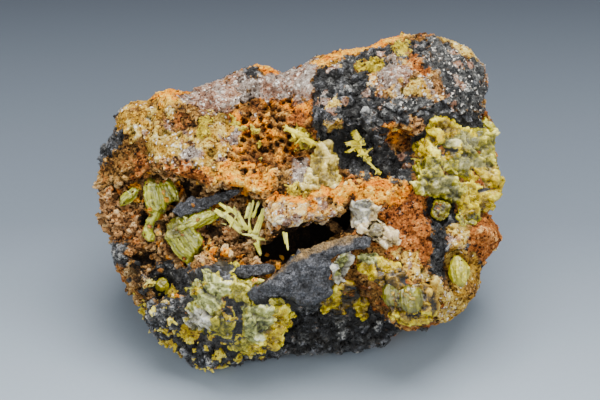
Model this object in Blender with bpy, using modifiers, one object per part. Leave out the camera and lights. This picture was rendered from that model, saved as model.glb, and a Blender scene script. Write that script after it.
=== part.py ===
"""Pyromorphite on a gossan matrix: one rough rock of limonite and black manganese oxide, with the crystals,
crusts and oxide blades that grew on it as solids of their own.

Everything is placed on the rock's display face. A place there is (across, up) in millimetres, as seen from a
viewing point in front of and above the rock, and `towards` is the distance in front of the plane through the
rock's middle. Sight lines meet at the viewing point, so a place keeps its (across, up) at any depth.
"""

import math
from collections import namedtuple

import bmesh
import bpy
import numpy as np
from mathutils import Matrix, Vector, noise
from mathutils.bvhtree import BVHTree
from mathutils.geometry import delaunay_2d_cdt

MM = 0.001

# The viewing point, and where the plane of the display face stands over the surface that the rock rests on.
SIGHT_RISE = math.radians(35)
SIGHT_LENGTH = 650.0
MIDDLE = np.array((-0.05, 1.5, 25.0))

# The rock's body, in millimetres.
FRONT_BULGE = 17.5
BACK_BULGE = 25.0
LEAN = -0.12
BODY_SQUARENESS = 0.76
LUMP_SIZE = 9.0
LUMP_HEIGHT = 1.9
CRUMB_SIZE = 3.6
CRUMB_HEIGHT = 0.8
BACK_ROUGHNESS = 0.35
SPARED_SHARE = 0.3
ROCK_VOXEL = 0.6
ROCK_TRIANGLES = 3450

# The gap that a crystal or a blade keeps to the socket it sits in, and a block that stands for the ground.
SOCKET_GAP = 0.3
GROUND_SIZE = 120.0

ACROSS = np.array((1.0, 0.0, 0.0))
UP = np.array((0.0, math.sin(SIGHT_RISE), math.cos(SIGHT_RISE)))
TOWARDS = np.array((0.0, -math.cos(SIGHT_RISE), math.sin(SIGHT_RISE)))

# The rock's outline on the display face, clockwise from its left end.
OUTLINE = [
    (-40.2, 8.4), (-38.8, 11.0), (-37.0, 12.8), (-36.6, 15.6), (-35.6, 18.4), (-33.2, 19.4),
    (-29.6, 19.8), (-29.0, 21.6), (-26.4, 22.0), (-21.6, 21.0), (-19.0, 22.8), (-15.6, 24.2),
    (-12.0, 25.4), (-10.0, 26.8), (-7.2, 26.8), (-3.6, 25.0), (-0.4, 25.8), (2.4, 27.8),
    (9.0, 29.6), (14.4, 30.8), (19.0, 32.4), (24.0, 32.6), (29.6, 32.0), (34.0, 30.4),
    (36.4, 27.6), (37.4, 24.4), (36.4, 20.0), (37.2, 17.0), (38.6, 14.0), (38.0, 10.4),
    (39.4, 6.4), (39.6, 2.6), (38.4, -0.6), (37.2, -2.4), (39.4, -5.2), (40.4, -7.2),
    (38.6, -10.0), (36.2, -12.8), (35.8, -17.0), (33.6, -20.8), (30.4, -23.6), (25.0, -25.2),
    (20.4, -26.2), (17.6, -28.4), (11.0, -30.0), (4.0, -30.8), (-2.0, -30.4), (-5.6, -31.0),
    (-12.0, -32.6), (-17.6, -33.4), (-22.4, -32.0), (-25.6, -28.6), (-29.0, -27.0), (-31.2, -24.0),
    (-30.4, -21.6), (-33.6, -18.4), (-35.6, -15.0), (-37.6, -10.4), (-37.0, -7.6), (-39.6, -4.2),
    (-40.0, 1.0), (-39.4, 4.0),
]

# What stands out of the display face (+) or is sunk in it (-): name, height, softness of the edge, and edge.
RELIEF = [
    ("left hollow", -6.5, 1.3, [
        (-38.4, 3.6), (-30.0, 4.6), (-25.6, 5.0), (-19.0, 3.4), (-14.4, 2.0), (-11.6, 2.2), (-7.6, -1.2),
        (-7.2, -4.8), (-6.4, -8.0), (-3.0, -11.6), (-7.6, -12.8), (-13.0, -12.4), (-19.0, -11.2),
        (-22.0, -14.0), (-21.6, -17.0), (-24.0, -20.0), (-27.4, -20.4), (-29.6, -18.0), (-30.8, -13.6),
        (-35.0, -10.0), (-36.8, -5.0), (-38.8, -1.0)]),
    ("pocket under the cap", -5.0, 0.9, [
        (-25.0, 4.6), (-20.0, 3.2), (-19.4, 1.4), (-23.0, 0.6), (-26.0, 2.0)]),
    ("pocket behind the lens", -4.0, 0.9, [
        (-13.0, 2.0), (-10.0, 0.8), (-7.8, -1.6), (-8.6, -4.0), (-12.4, -3.6), (-15.0, -1.0)]),
    ("pocket at the left", -4.0, 0.9, [
        (-32.4, -1.2), (-29.6, -1.4), (-29.2, -4.2), (-32.6, -5.0)]),
    ("lower left pocket", -4.0, 1.2, [
        (-31.4, -10.6), (-26.8, -10.4), (-23.0, -13.0), (-22.6, -15.6), (-26.6, -15.0), (-31.0, -14.4)]),
    ("mouth", -11.0, 0.8, [
        (-7.6, -10.0), (-5.0, -8.0), (-1.6, -7.2), (0.4, -5.4), (2.8, -4.4), (5.2, -5.2), (7.6, -6.6),
        (9.2, -7.4), (5.0, -8.2), (0.0, -10.0), (-3.0, -11.8), (-6.8, -12.4)]),
    ("upper mouth", -11.0, 0.7, [
        (5.4, -4.2), (7.4, -2.8), (9.8, -1.4), (10.6, -3.2), (10.0, -5.4), (7.6, -5.0)]),
    ("shelf over the mouth", 2.6, 1.6, [
        (-7.6, -1.2), (-3.0, 0.4), (4.0, 2.0), (10.0, 4.0), (16.0, 3.8), (20.0, 2.0), (18.4, -1.0),
        (14.0, -1.0), (10.4, -0.6), (7.6, -2.4), (3.6, -4.2), (-0.4, -5.8), (-2.8, -7.6), (-6.0, -8.0),
        (-6.8, -5.0)]),
    ("honeycomb", -3.2, 2.4, [
        (-13.6, 20.8), (-7.6, 22.4), (-2.0, 22.0), (2.6, 21.6), (2.8, 13.0), (2.4, 7.0), (-3.0, 5.6),
        (-9.0, 7.6), (-13.6, 9.6), (-17.0, 13.0), (-17.0, 17.0)]),
    ("black block", 2.2, 1.2, [
        (3.0, 28.4), (9.0, 30.0), (19.0, 33.0), (30.0, 32.6), (36.0, 29.0), (38.0, 24.0), (36.6, 19.0),
        (36.0, 15.5), (27.0, 16.0), (22.0, 14.0), (12.0, 15.0), (3.0, 13.5)]),
    ("hollow under the black block", -4.5, 1.5, [
        (3.2, 13.0), (9.0, 15.6), (16.0, 15.0), (22.0, 14.4), (25.6, 12.0), (22.4, 10.0), (23.0, 6.4),
        (19.6, 4.4), (15.0, 4.0), (9.0, 4.4), (7.0, 7.0), (5.0, 10.4)]),
    ("left wing", -3.5, 1.6, [
        (-41.0, 8.0), (-39.0, 12.0), (-36.0, 13.0), (-33.0, 12.0), (-30.0, 9.0), (-27.0, 5.6),
        (-30.0, 4.4), (-38.0, 4.0)]),
    ("underside", -10.0, 1.6, [
        (-3.2, -23.6), (-0.8, -21.8), (4.4, -20.8), (9.0, -20.0), (13.0, -20.6), (17.6, -22.0),
        (19.2, -24.4), (20.8, -26.2), (17.6, -28.6), (10.0, -30.2), (3.6, -31.0), (-2.0, -30.6),
        (-3.4, -27.6)]),
    ("lower left boss", 1.8, 3.5, [
        (-21.0, -16.0), (-12.0, -14.0), (-4.0, -18.0), (-4.0, -29.0), (-12.0, -31.0), (-21.0, -25.0)]),
    ("lower right boss", 2.2, 3.5, [
        (9.0, -15.0), (20.0, -13.0), (32.0, -14.0), (33.0, -20.0), (26.0, -24.0), (18.0, -22.0)]),
]

# Fracture planes that break the back and the sides: outward direction, and distance from the middle.
FRACTURES = [
    ((0.10, 0.95, 0.30), 24.5),
    ((0.62, 0.72, -0.30), 30.0),
    ((-0.70, 0.66, 0.28), 31.0),
    ((-0.30, 0.62, -0.72), 25.5),
    ((0.25, 0.45, 0.86), 27.0),
    ((0.92, 0.30, 0.22), 38.0),
    ((-0.88, 0.20, -0.42), 36.0),
]
FRACTURE_ROUGHNESS = 0.22

# Lumps on the display face: name, across, up, radius and height.
LUMPS = [
    ("brown ball", -12.1, -0.2, 1.6, 2.4),
    ("flake by the splinter", -8.0, -15.4, 2.3, 1.6),
    ("flake in the left hollow", -14.4, -12.0, 1.9, 1.6),
    ("crumb under the lens", -18.2, -8.6, 1.8, 1.7),
    ("crumb beside it", -15.2, -9.4, 1.4, 1.4),
    ("crumb on the upper barrel", -26.6, 0.4, 1.3, 1.6),
    ("upper red crumb", -36.6, -1.6, 1.8, 1.6),
    ("middle red crumb", -33.6, -5.4, 1.9, 1.7),
    ("lower red crumb", -31.4, -8.8, 1.8, 1.6),
    ("black knob on the left rim", -36.6, -10.6, 1.9, 2.0),
    ("black knob in the pocket", -24.6, -14.2, 1.9, 1.6),
    ("black knob under it", -30.2, -16.8, 1.8, 1.6),
    ("black knob at the lower left", -28.4, -23.6, 3.2, 2.2),
    ("black knob at the bottom", -17.6, -31.2, 2.2, 1.6),
    ("orange knob", 37.0, -7.4, 4.0, 3.0),
    ("crumb over the right corner", 35.6, -11.6, 2.4, 1.8),
    ("ochre rim", -26.8, 20.2, 2.8, 1.8),
    ("red crumb at the block's edge", 0.4, 15.0, 2.2, 1.6),
    ("pink lump on the shelf", 0.0, -2.6, 2.4, 1.4),
    ("pink lump beside it", -4.6, -3.6, 1.9, 1.2),
    ("quartz lump on the cap", -14.6, 20.2, 3.6, 1.6),
    ("quartz lump on the block", 20.6, 25.6, 4.6, 1.6),
    ("black lump on the block", 8.0, 21.6, 3.6, 1.6),
    ("black lump at its foot", 5.6, 15.6, 2.8, 1.8),
    ("black lump at its right", 31.0, 20.4, 4.4, 1.6),
    ("black lump under the crust", 31.0, -9.6, 3.2, 1.6),
    ("bottom ledge", 9.0, -26.4, 4.6, 2.0),
]

# Outlines of the crusts and the oxide plate on the display face.
PLATE = [
    (-10.6, -18.6), (-7.6, -17.0), (-5.0, -15.0), (-2.0, -12.4), (0.0, -10.0), (6.0, -8.6), (10.0, -7.2),
    (14.0, -7.6), (13.6, -9.2), (9.0, -10.0), (7.6, -12.4), (7.0, -15.0), (6.0, -19.0), (3.0, -20.6),
    (0.0, -20.6), (-3.0, -19.2), (-7.0, -19.6), (-9.6, -19.8)]
PLATE_FOLD = [(-9.4, -18.2), (0.0, -12.6), (13.6, -8.2)]
RIGHT_CRUST = [
    (23.0, 7.0), (22.4, 10.0), (25.0, 12.0), (26.0, 16.0), (29.0, 16.4), (32.0, 14.4), (36.0, 14.0),
    (39.2, 14.0), (38.6, 11.0), (39.2, 8.0), (39.8, 4.0), (39.8, 1.0), (37.6, -1.6), (35.6, -3.0),
    (35.0, -5.0), (32.0, -5.6), (31.0, -1.0), (28.0, 0.0), (25.0, 1.0), (22.4, 3.0)]
LOWER_LEFT_CRUST = [
    (-22.0, -16.4), (-20.0, -13.6), (-17.0, -12.4), (-13.0, -13.0), (-12.0, -15.0), (-7.6, -16.0),
    (-5.0, -17.0), (-7.0, -19.0), (-4.0, -19.6), (-2.0, -21.0), (-3.0, -23.0), (-1.0, -22.4), (-3.0, -25.0),
    (-4.0, -26.6), (-3.4, -28.0), (-5.0, -29.4), (-8.0, -29.2), (-11.0, -30.4), (-13.4, -30.4),
    (-15.6, -29.0), (-18.0, -27.6), (-21.0, -26.6), (-22.8, -24.0), (-23.2, -22.0), (-21.0, -20.0),
    (-22.6, -18.6)]
LOWER_RIGHT_CRUST = [
    (11.4, -10.8), (15.0, -10.0), (17.6, -12.6), (20.6, -13.0), (22.6, -15.6), (25.0, -17.0), (27.4, -18.4),
    (27.6, -22.0), (26.4, -23.6), (24.0, -24.2), (20.8, -24.6), (18.8, -22.4), (16.8, -20.0), (16.0, -16.4),
    (13.2, -15.0), (11.4, -13.6)]
YELLOW_BLADES = [
    (4.0, -20.0), (5.2, -18.0), (7.6, -16.4), (10.0, -16.4), (12.8, -18.0), (13.6, -21.0), (13.2, -23.8),
    (12.2, -24.0), (10.4, -21.6), (9.0, -22.8), (7.0, -23.2), (5.0, -21.6)]
PLATE_PATCH = [
    (6.4, -16.0), (6.6, -12.8), (8.0, -10.8), (10.0, -10.0), (10.8, -11.6), (10.0, -14.0), (9.0, -16.2),
    (7.6, -17.0)]
PALE_CRUST = [
    (10.0, -1.0), (11.6, 0.0), (14.0, 0.4), (15.8, -1.0), (15.2, -3.6), (17.0, -5.2), (19.6, -6.4),
    (19.8, -9.0), (17.6, -9.4), (15.4, -8.4), (12.6, -6.6), (10.4, -5.4), (10.0, -3.0)]
PALE_BLADE = [
    (3.6, 11.4), (6.4, 11.6), (8.2, 4.0), (7.6, 2.6), (3.6, 2.6), (0.0, 2.0), (2.4, 7.0)]
LENS = [
    (-25.6, -2.4), (-24.8, -1.2), (-22.4, 0.0), (-19.0, 0.4), (-15.6, 1.6), (-12.4, 2.2), (-11.8, 1.6),
    (-14.4, 0.0), (-17.6, -1.4), (-21.0, -2.4), (-24.0, -3.2)]
SPLINTER = [
    (-13.0, -14.4), (-12.0, -13.2), (-8.8, -12.8), (-6.0, -13.2), (-5.4, -14.0), (-7.6, -14.8),
    (-10.8, -15.6), (-12.4, -15.4)]
LENS_ROOT = (-20.0, -1.6)
LENS_OVER = 3.0
SPLINTER_ROOT = (-9.4, -14.2)
SPLINTER_OVER = 0.8
CRUST_DEPTH = 2.2
CRUST_DROP = 3.5
# A patch's socket is this many gaps deeper than it, so that the gap stays open where the patch is steep.
STEEP_GAPS = 4.0
SPACING = 2.3
EDGE_SPACING = 2.7

# A crystal is a six-sided prism from start to end, each (across, up, towards the eye over the rock at `root`).
# `waist` is how many times as thick it is at its middle, `flat` how thick it is along the sight line, and `cup`
# the share of its length that its hollow end is sunk.
Crystal = namedtuple("Crystal", "start end radii waist flat cup", defaults=[1.0, 1.0, 0.0])
CUP_RIM = 0.34

# The crystals of each group, with the place on the display face that they grew from.
GROUPS = [
    ("needle_spray", "green", (-9.4, -6.8), [
        Crystal((-15.8, -2.4, 2.2), (-11.2, -6.4, 0.6), (0.95, 0.80)),
        Crystal((-15.2, -1.6, 2.0), (-10.8, -4.6, 1.0), (0.55, 0.50)),
        Crystal((-12.4, -1.4, 2.6), (-11.2, -4.8, 1.3), (0.65, 0.70)),
        Crystal((-11.4, -4.2, 1.6), (-8.8, -6.6, 0.5), (0.60, 0.50)),
        Crystal((-12.0, -6.5, 0.7), (-7.8, -7.3, 0.3), (0.70, 0.60)),
        Crystal((-8.4, 0.0, 3.2), (-10.6, -5.4, 0.9), (1.00, 0.65)),
        Crystal((-6.8, -0.8, 3.0), (-8.8, -7.0, 0.4), (0.55, 0.70)),
        Crystal((-6.7, -0.9, 2.8), (-5.3, -4.6, 1.6), (0.50, 0.30)),
        Crystal((-8.5, -6.8, 0.5), (-8.0, -11.4, -0.2), (0.60, 0.40)),
    ]),
    ("hanging_needle", "green", (-2.8, -6.4), [
        Crystal((-2.9, -6.2, 1.2), (-2.3, -10.2, 1.4), (0.45, 0.25)),
    ]),
    ("star_sprig", "yellow", (11.2, 11.2), [
        Crystal((11.4, 11.6, 0.4), (11.2, 14.8, 1.2), (1.30, 0.25), 1.0, 0.6),
        Crystal((11.6, 11.4, 0.3), (8.4, 11.6, 0.8), (1.00, 0.25), 1.0, 0.6),
        Crystal((11.4, 11.2, 0.2), (8.6, 8.8, 0.8), (0.90, 0.25), 1.0, 0.6),
        Crystal((11.2, 11.2, 0.5), (14.2, 11.2, 0.9), (0.90, 0.25), 1.0, 0.6),
        Crystal((11.0, 11.6, 0.5), (13.4, 7.4, 0.9), (0.90, 0.55), 1.0, 0.6),
        Crystal((13.2, 7.9, 0.8), (16.2, 5.0, 0.7), (0.60, 0.25), 1.0, 0.7),
        Crystal((13.8, 7.0, 0.8), (14.6, 9.8, 1.0), (0.45, 0.25)),
    ]),
    ("cap_sprig", "yellow", (0.6, 12.6), [
        Crystal((-3.0, 14.4, 0.6), (1.2, 12.4, 0.6), (0.30, 0.85), 1.0, 0.7),
        Crystal((0.6, 12.8, 0.6), (3.6, 10.6, 0.8), (0.90, 0.60), 1.0, 0.7),
        Crystal((0.6, 12.6, 0.5), (-1.6, 10.6, 0.7), (0.60, 0.25), 1.0, 0.7),
    ]),
    ("top_right_spike", "yellow", (38.0, 15.4), [
        Crystal((37.4, 16.6, 0.2), (39.6, 13.6, 0.6), (1.40, 0.50), 1.1, 0.7),
        Crystal((37.6, 15.6, 0.2), (35.6, 14.0, 0.4), (1.20, 0.40), 1.0, 0.7),
    ]),
    ("ring_crystal", "pale", (28.0, -1.9), [
        Crystal((28.0, -1.9, -1.0), (28.0, -1.9, 1.4), (2.30, 2.10), cup=0.45),
    ]),
    ("hexagonal_crystal", "pale", (15.3, -5.9), [
        Crystal((15.2, -5.9, -0.8), (15.2, -5.9, 2.6), (1.50, 1.40)),
    ]),
    ("upper_barrel_crystal", "green", (-28.4, 1.0), [
        Crystal((-29.6, 4.0, 0.4), (-28.0, -2.6, 0.6), (1.90, 2.00), 1.28),
        Crystal((-27.4, 3.8, 0.0), (-25.4, -0.4, 0.2), (1.50, 1.60), 1.25),
    ]),
    ("barrel_cluster", "green", (-22.8, -8.0), [
        Crystal((-25.4, -4.4, 0.8), (-20.6, -11.4, 0.4), (2.00, 1.90), 1.25),
        Crystal((-23.6, -4.0, 1.4), (-20.0, -9.8, 1.0), (1.50, 1.50), 1.20),
        Crystal((-26.2, -5.4, 0.0), (-21.4, -12.4, -0.2), (1.60, 1.50), 1.20),
        Crystal((-24.6, -5.8, 1.4), (-15.6, -1.6, 1.0), (2.30, 1.20), 1.15),
    ]),
    ("prism_pair", "green", (-29.6, -4.0), [
        Crystal((-28.6, -1.6, 1.2), (-30.6, -6.6, 0.6), (0.95, 1.05)),
        Crystal((-29.8, -2.4, 0.9), (-31.0, -7.0, 0.2), (0.60, 0.95)),
        Crystal((-30.9, -5.8, 0.6), (-30.2, -8.2, 0.4), (1.20, 0.90), 1.1),
    ]),
    ("left_barrel_crystal", "green", (-34.4, 0.8), [
        Crystal((-36.0, -0.4, 0.4), (-32.6, 2.0, 0.6), (0.95, 1.10), 1.25),
    ]),
    ("corner_crystal", "green", (-27.6, -17.0), [
        Crystal((-27.6, -17.0, -0.8), (-27.4, -17.0, 1.9), (1.35, 1.30)),
    ]),
    ("right_lens_crystal", "yellow", (31.2, -14.6), [
        Crystal((30.8, -10.8, 0.0), (31.6, -18.2, 0.2), (0.80, 0.80), 2.5, 0.7),
    ]),
]
BARREL_ROOT = (21.0, -19.0)
OLIVE_BARRELS = [
    Crystal((18.0, -15.2, 0.6), (19.4, -22.8, 0.4), (1.50, 1.40), 1.35, 0.9),
    Crystal((22.6, -16.2, 1.2), (21.8, -23.0, 0.6), (1.80, 1.50), 1.30, 0.9),
    Crystal((25.2, -18.0, 0.4), (24.6, -22.6, 0.4), (1.20, 1.10), 1.20, 0.9),
]

COLOURS = {
    "gossan": ((0.42, 0.22, 0.09), 0.85),
    "oxide": ((0.05, 0.055, 0.07), 0.45),
    "green": ((0.50, 0.55, 0.15), 0.25),
    "yellow": ((0.70, 0.58, 0.12), 0.35),
    "pale": ((0.55, 0.56, 0.42), 0.40),
}


def clear_scene():
    for thing in list(bpy.data.objects):
        bpy.data.objects.remove(thing)


def collection(name):
    made = bpy.data.collections.new(name)
    bpy.context.scene.collection.children.link(made)
    return made


def from_face(places):
    """World points, in metres, of rows (across, up, towards) in millimetres."""
    places = np.asarray(places, float).reshape(-1, 3)
    nearer = 1 - places[:, 2:] / SIGHT_LENGTH
    points = MIDDLE + (places[:, :1] * ACROSS + places[:, 1:2] * UP) * nearer + places[:, 2:] * TOWARDS
    return points * MM


def to_face(points):
    """Rows (across, up, towards) in millimetres of world points in metres."""
    offset = np.asarray(points, float).reshape(-1, 3) / MM - MIDDLE
    towards = offset @ TOWARDS
    nearer = 1 - towards / SIGHT_LENGTH
    return np.stack([offset @ ACROSS / nearer, offset @ UP / nearer, towards], axis=1)


def edge_distance(across, up, edge):
    """Distance of places to a closed edge on the display face, positive inside it."""
    place = np.stack([across, up], axis=1)
    ends = np.array(edge)
    nearest = np.full(len(place), 1e9)
    inside = np.zeros(len(place), bool)
    for start, end in zip(ends, np.roll(ends, -1, axis=0)):
        side = end - start
        share = np.clip((place - start) @ side / (side @ side), 0, 1)
        nearest = np.minimum(nearest, np.linalg.norm(place - start - share[:, None] * side, axis=1))
        straddles = (start[1] > place[:, 1]) != (end[1] > place[:, 1])
        crossing = start[0] + side[0] * (place[:, 1] - start[1]) / (side[1] or 1e-9)
        inside ^= straddles & (place[:, 0] < crossing)
    return np.where(inside, nearest, -nearest)


def ease(values, low, high):
    """0 below low, 1 above high, with a smooth step between."""
    share = np.clip((values - low) / (high - low), 0, 1)
    return share * share * (3 - 2 * share)


def grain(points, size, octaves=3):
    """Fractal noise about 0 at each point, with its largest lumps `size` across."""
    return np.array([noise.fractal(Vector(p) / size, 1.0, 2.0, octaves) for p in points])


def cracks(points, size):
    """0 along the cracks between cells of about `size`, and up to 1 inside a cell."""
    gaps = []
    for p in points:
        near, next_near = noise.voronoi(Vector(p) / size)[0][:2]
        gaps.append(min(1.0, 2.2 * (next_near - near)))
    return np.array(gaps)


def mesh_object(name, mesh, home):
    made = bpy.data.objects.new(name, mesh)
    home.objects.link(made)
    return made


def from_bmesh(name, shape, home):
    bmesh.ops.recalc_face_normals(shape, faces=shape.faces)
    mesh = bpy.data.meshes.new(name)
    shape.to_mesh(mesh)
    shape.free()
    return mesh_object(name, mesh, home)


def applied(thing):
    """Replaces the object's mesh with its evaluated one, and drops its modifiers."""
    graph = bpy.context.evaluated_depsgraph_get()
    mesh = bpy.data.meshes.new_from_object(thing.evaluated_get(graph))
    thing.modifiers.clear()
    thing.data = mesh
    return thing


def material(name, colour, roughness, metallic=0.0):
    made = bpy.data.materials.new(name)
    made.use_nodes = True
    shader = made.node_tree.nodes["Principled BSDF"]
    shader.inputs["Base Color"].default_value = (*colour, 1)
    shader.inputs["Roughness"].default_value = roughness
    shader.inputs["Metallic"].default_value = metallic
    return made


# ---- The rock ----

def rock_body():
    """The rock as a fine sphere pushed out to its outline, its bulges, its fractures and its relief."""
    shape = bmesh.new()
    bmesh.ops.create_icosphere(shape, subdivisions=7, radius=1)
    ball = np.array([v.co for v in shape.verts])
    around = np.arctan2(ball[:, 1], ball[:, 0])
    to_front = ball[:, 2]
    in_plane = np.sqrt(np.maximum(0, 1 - to_front**2))

    outline = np.array(OUTLINE)
    turn = np.arctan2(outline[:, 1], outline[:, 0])
    order = np.argsort(turn)
    reach = np.interp(around, turn[order], np.linalg.norm(outline, axis=1)[order], period=2 * math.pi)
    out = reach * in_plane**BODY_SQUARENESS
    across, up = out * np.cos(around), out * np.sin(around)
    bulge = np.where(to_front > 0, FRONT_BULGE, BACK_BULGE)
    towards = LEAN * up + bulge * np.sign(to_front) * np.abs(to_front) ** BODY_SQUARENESS

    points = from_face(np.stack([across, up, towards], axis=1)) / MM
    points = broken(points, ease(-to_front, 0.0, 0.3))
    places = to_face(points * MM)
    frontness = ease(to_front, 0.02, 0.22)
    wander = grain(points, 5.0)
    wander_up = grain(points + 40.0, 5.0)
    for _name, height, softness, edge in RELIEF:
        distance = edge_distance(places[:, 0] + 0.9 * wander, places[:, 1] + 0.9 * wander_up, edge)
        places[:, 2] += height * frontness * ease(distance, -softness / 2, softness / 2)
    for _name, across, up, radius, height in LUMPS:
        away = np.hypot(places[:, 0] - across, places[:, 1] - up) / radius + 0.15 * wander
        places[:, 2] += height * frontness * np.sqrt(np.maximum(0, 1 - away**2))
    deepest = LEAN * up + SPARED_SHARE * bulge * np.abs(to_front) ** BODY_SQUARENESS
    places[:, 2] = np.where(to_front > 0, np.maximum(places[:, 2], deepest), places[:, 2])
    points = from_face(places) / MM

    normal = points - MIDDLE
    normal /= np.linalg.norm(normal, axis=1)[:, None]
    silhouette = 1 - np.abs(to_front) ** 0.5
    lumps = LUMP_HEIGHT * grain(points, LUMP_SIZE) * (1 - 0.6 * silhouette)
    crumbs = CRUMB_HEIGHT * (cracks(points, CRUMB_SIZE) - 0.6)
    rough = BACK_ROUGHNESS + (1 - BACK_ROUGHNESS) * frontness
    points = points + normal * (rough * (lumps + crumbs))[:, None]
    for vertex, point in zip(shape.verts, points * MM):
        vertex.co = point
    return shape


def broken(points, behind):
    """The points with what stands past each fracture plane brought back almost onto it, where `behind` is 1."""
    for direction, distance in FRACTURES:
        direction = np.array(direction) / np.linalg.norm(direction)
        past = (points - MIDDLE) @ direction - distance
        points = points - (behind * np.maximum(past, 0))[:, None] * direction * (1 - FRACTURE_ROUGHNESS)
    return points


# ---- Placing and building the pieces on the rock ----

class Surface:
    """The front of some solids, read along the sight lines."""

    def __init__(self, solids):
        shape = bmesh.new()
        for solid in solids:
            shape.from_mesh(solid.data)
        self.tree = BVHTree.FromBMesh(shape)
        shape.free()
        self.eye = Vector(from_face([(0, 0, SIGHT_LENGTH)])[0])

    def towards(self, across, up):
        """How far in front of the plane through the middle the surface stands at a place on the display face."""
        aim = Vector(from_face([(across, up, 0)])[0])
        hit = self.tree.ray_cast(self.eye, (aim - self.eye).normalized())[0]
        if hit is None:
            hit = self.tree.find_nearest(aim)[0]
        return to_face([hit])[0, 2]


def divided(outline, spacing):
    """The outline with its long sides split into pieces of about `spacing`."""
    points = []
    for start, end in zip(outline, outline[1:] + outline[:1]):
        count = max(1, round(math.dist(start, end) / spacing))
        points += [tuple(np.array(start) + (np.array(end) - start) * i / count) for i in range(count)]
    return points


def grown(outline, grow):
    """The outline, given clockwise, moved outward by `grow`."""
    points = np.array(outline)
    before, after = points - np.roll(points, 1, axis=0), np.roll(points, -1, axis=0) - points
    outward = []
    for side in (before, after):
        side = side / np.linalg.norm(side, axis=1)[:, None]
        outward.append(np.stack([-side[:, 1], side[:, 0]], axis=1))
    middle = outward[0] + outward[1]
    middle /= np.maximum(0.6, (middle * outward[0]).sum(axis=1))[:, None]
    return [tuple(p) for p in points + grow * middle]


def inner_points(outline, spacing):
    """Points on a staggered grid inside the outline, clear of its edge."""
    low, high = np.min(outline, axis=0), np.max(outline, axis=0)
    rows = np.arange(low[1], high[1], spacing * math.sqrt(3) / 2)
    grid = [(across + spacing / 2 * (row % 2), up)
            for row, up in enumerate(rows) for across in np.arange(low[0], high[0], spacing)]
    grid = np.array(grid)
    clear = edge_distance(grid[:, 0], grid[:, 1], outline) > spacing * 0.45
    return [tuple(p) for p in grid[clear]]


def patch(outline, front, back, grow):
    """A closed solid between two surfaces, each a function of (across, up), with the outline as its side."""
    edge = divided(outline, EDGE_SPACING)
    inside = inner_points(edge, SPACING)
    flat = [Vector(place) for place in edge + inside]
    _, _, faces, sources, _, _ = delaunay_2d_cdt(flat, [], [range(len(edge))], 1, 1e-6)
    corners = {front: [], back: []}
    shape = bmesh.new()
    for place, (across, up) in zip(edge + inside, grown(edge, grow) + inside):
        for side, more in ((front, STEEP_GAPS * grow), (back, -STEEP_GAPS * grow)):
            corners[side].append(shape.verts.new(from_face([(across, up, side(*place) + more)])[0]))
    for side in corners.values():
        for face in faces:
            shape.faces.new([side[sources[i][0]] for i in face])
    for i in range(len(edge)):
        j = (i + 1) % len(edge)
        shape.faces.new([corners[front][i], corners[front][j], corners[back][j], corners[back][i]])
    bmesh.ops.recalc_face_normals(shape, faces=shape.faces)
    return shape


def prism(crystal, floor, grow=0.0):
    """One crystal over the level `floor`, or its socket if it is grown."""
    ends = [Vector(from_face([(across, up, floor + over)])[0]) for across, up, over in (crystal.start, crystal.end)]
    along = ends[1] - ends[0]
    shape = bmesh.new()
    bmesh.ops.create_cone(shape, cap_ends=True, segments=6, radius1=1, radius2=1, depth=1)
    if crystal.waist != 1.0:
        for height in (-0.25, 0.0, 0.25):
            bmesh.ops.bisect_plane(
                shape, geom=shape.verts[:] + shape.edges[:] + shape.faces[:],
                plane_co=(0, 0, height), plane_no=(0, 0, 1))
    elif crystal.cup and not grow:
        end = max(shape.faces, key=lambda face: face.calc_center_median().z)
        bmesh.ops.inset_region(shape, faces=[end], thickness=CUP_RIM)
        bmesh.ops.translate(shape, verts=end.verts[:], vec=(0, 0, -crystal.cup))
    first, last = crystal.radii
    for vertex in shape.verts:
        share = vertex.co.z + 0.5
        radius = (first + (last - first) * share) * (1 + (crystal.waist - 1) * math.sin(math.pi * share))
        vertex.co.x *= (radius + grow) * MM
        vertex.co.y *= (radius * crystal.flat + grow) * MM
        vertex.co.z *= along.length + 2 * grow * MM
    along.normalize()
    side = along.cross(Vector(TOWARDS)) if abs(along.dot(Vector(TOWARDS))) < 0.9 else along.cross(Vector(UP))
    side.normalize()
    frame = Matrix((side, along.cross(side), along)).transposed().to_4x4()
    bmesh.ops.transform(
        shape, matrix=Matrix.Translation((ends[0] + ends[1]) / 2) @ frame, verts=shape.verts)
    return shape


def united(name, members, home):
    """One solid from members that overlap."""
    solids = [from_bmesh(name, member, home) for member in members]
    for other in solids[1:]:
        join = solids[0].modifiers.new("Join", "BOOLEAN")
        join.operation = "UNION"
        join.solver = "EXACT"
        join.object = other
    applied(solids[0])
    for other in solids[1:]:
        bpy.data.objects.remove(other)
    return solids[0]


def whole(solid):
    """Keeps the solid's largest body and drops crumbs that a socket has cut off."""
    shape = bmesh.new()
    shape.from_mesh(solid.data)
    left = set(shape.verts)
    bodies = []
    while left:
        body, edge = set(), [left.pop()]
        while edge:
            vertex = edge.pop()
            body.add(vertex)
            near = {e.other_vert(vertex) for e in vertex.link_edges} & left
            left -= near
            edge += near
        bodies.append(body)
    bodies.sort(key=len)
    bmesh.ops.delete(shape, geom=[v for body in bodies[:-1] for v in body], context="VERTS")
    shape.to_mesh(solid.data)
    shape.free()


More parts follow.
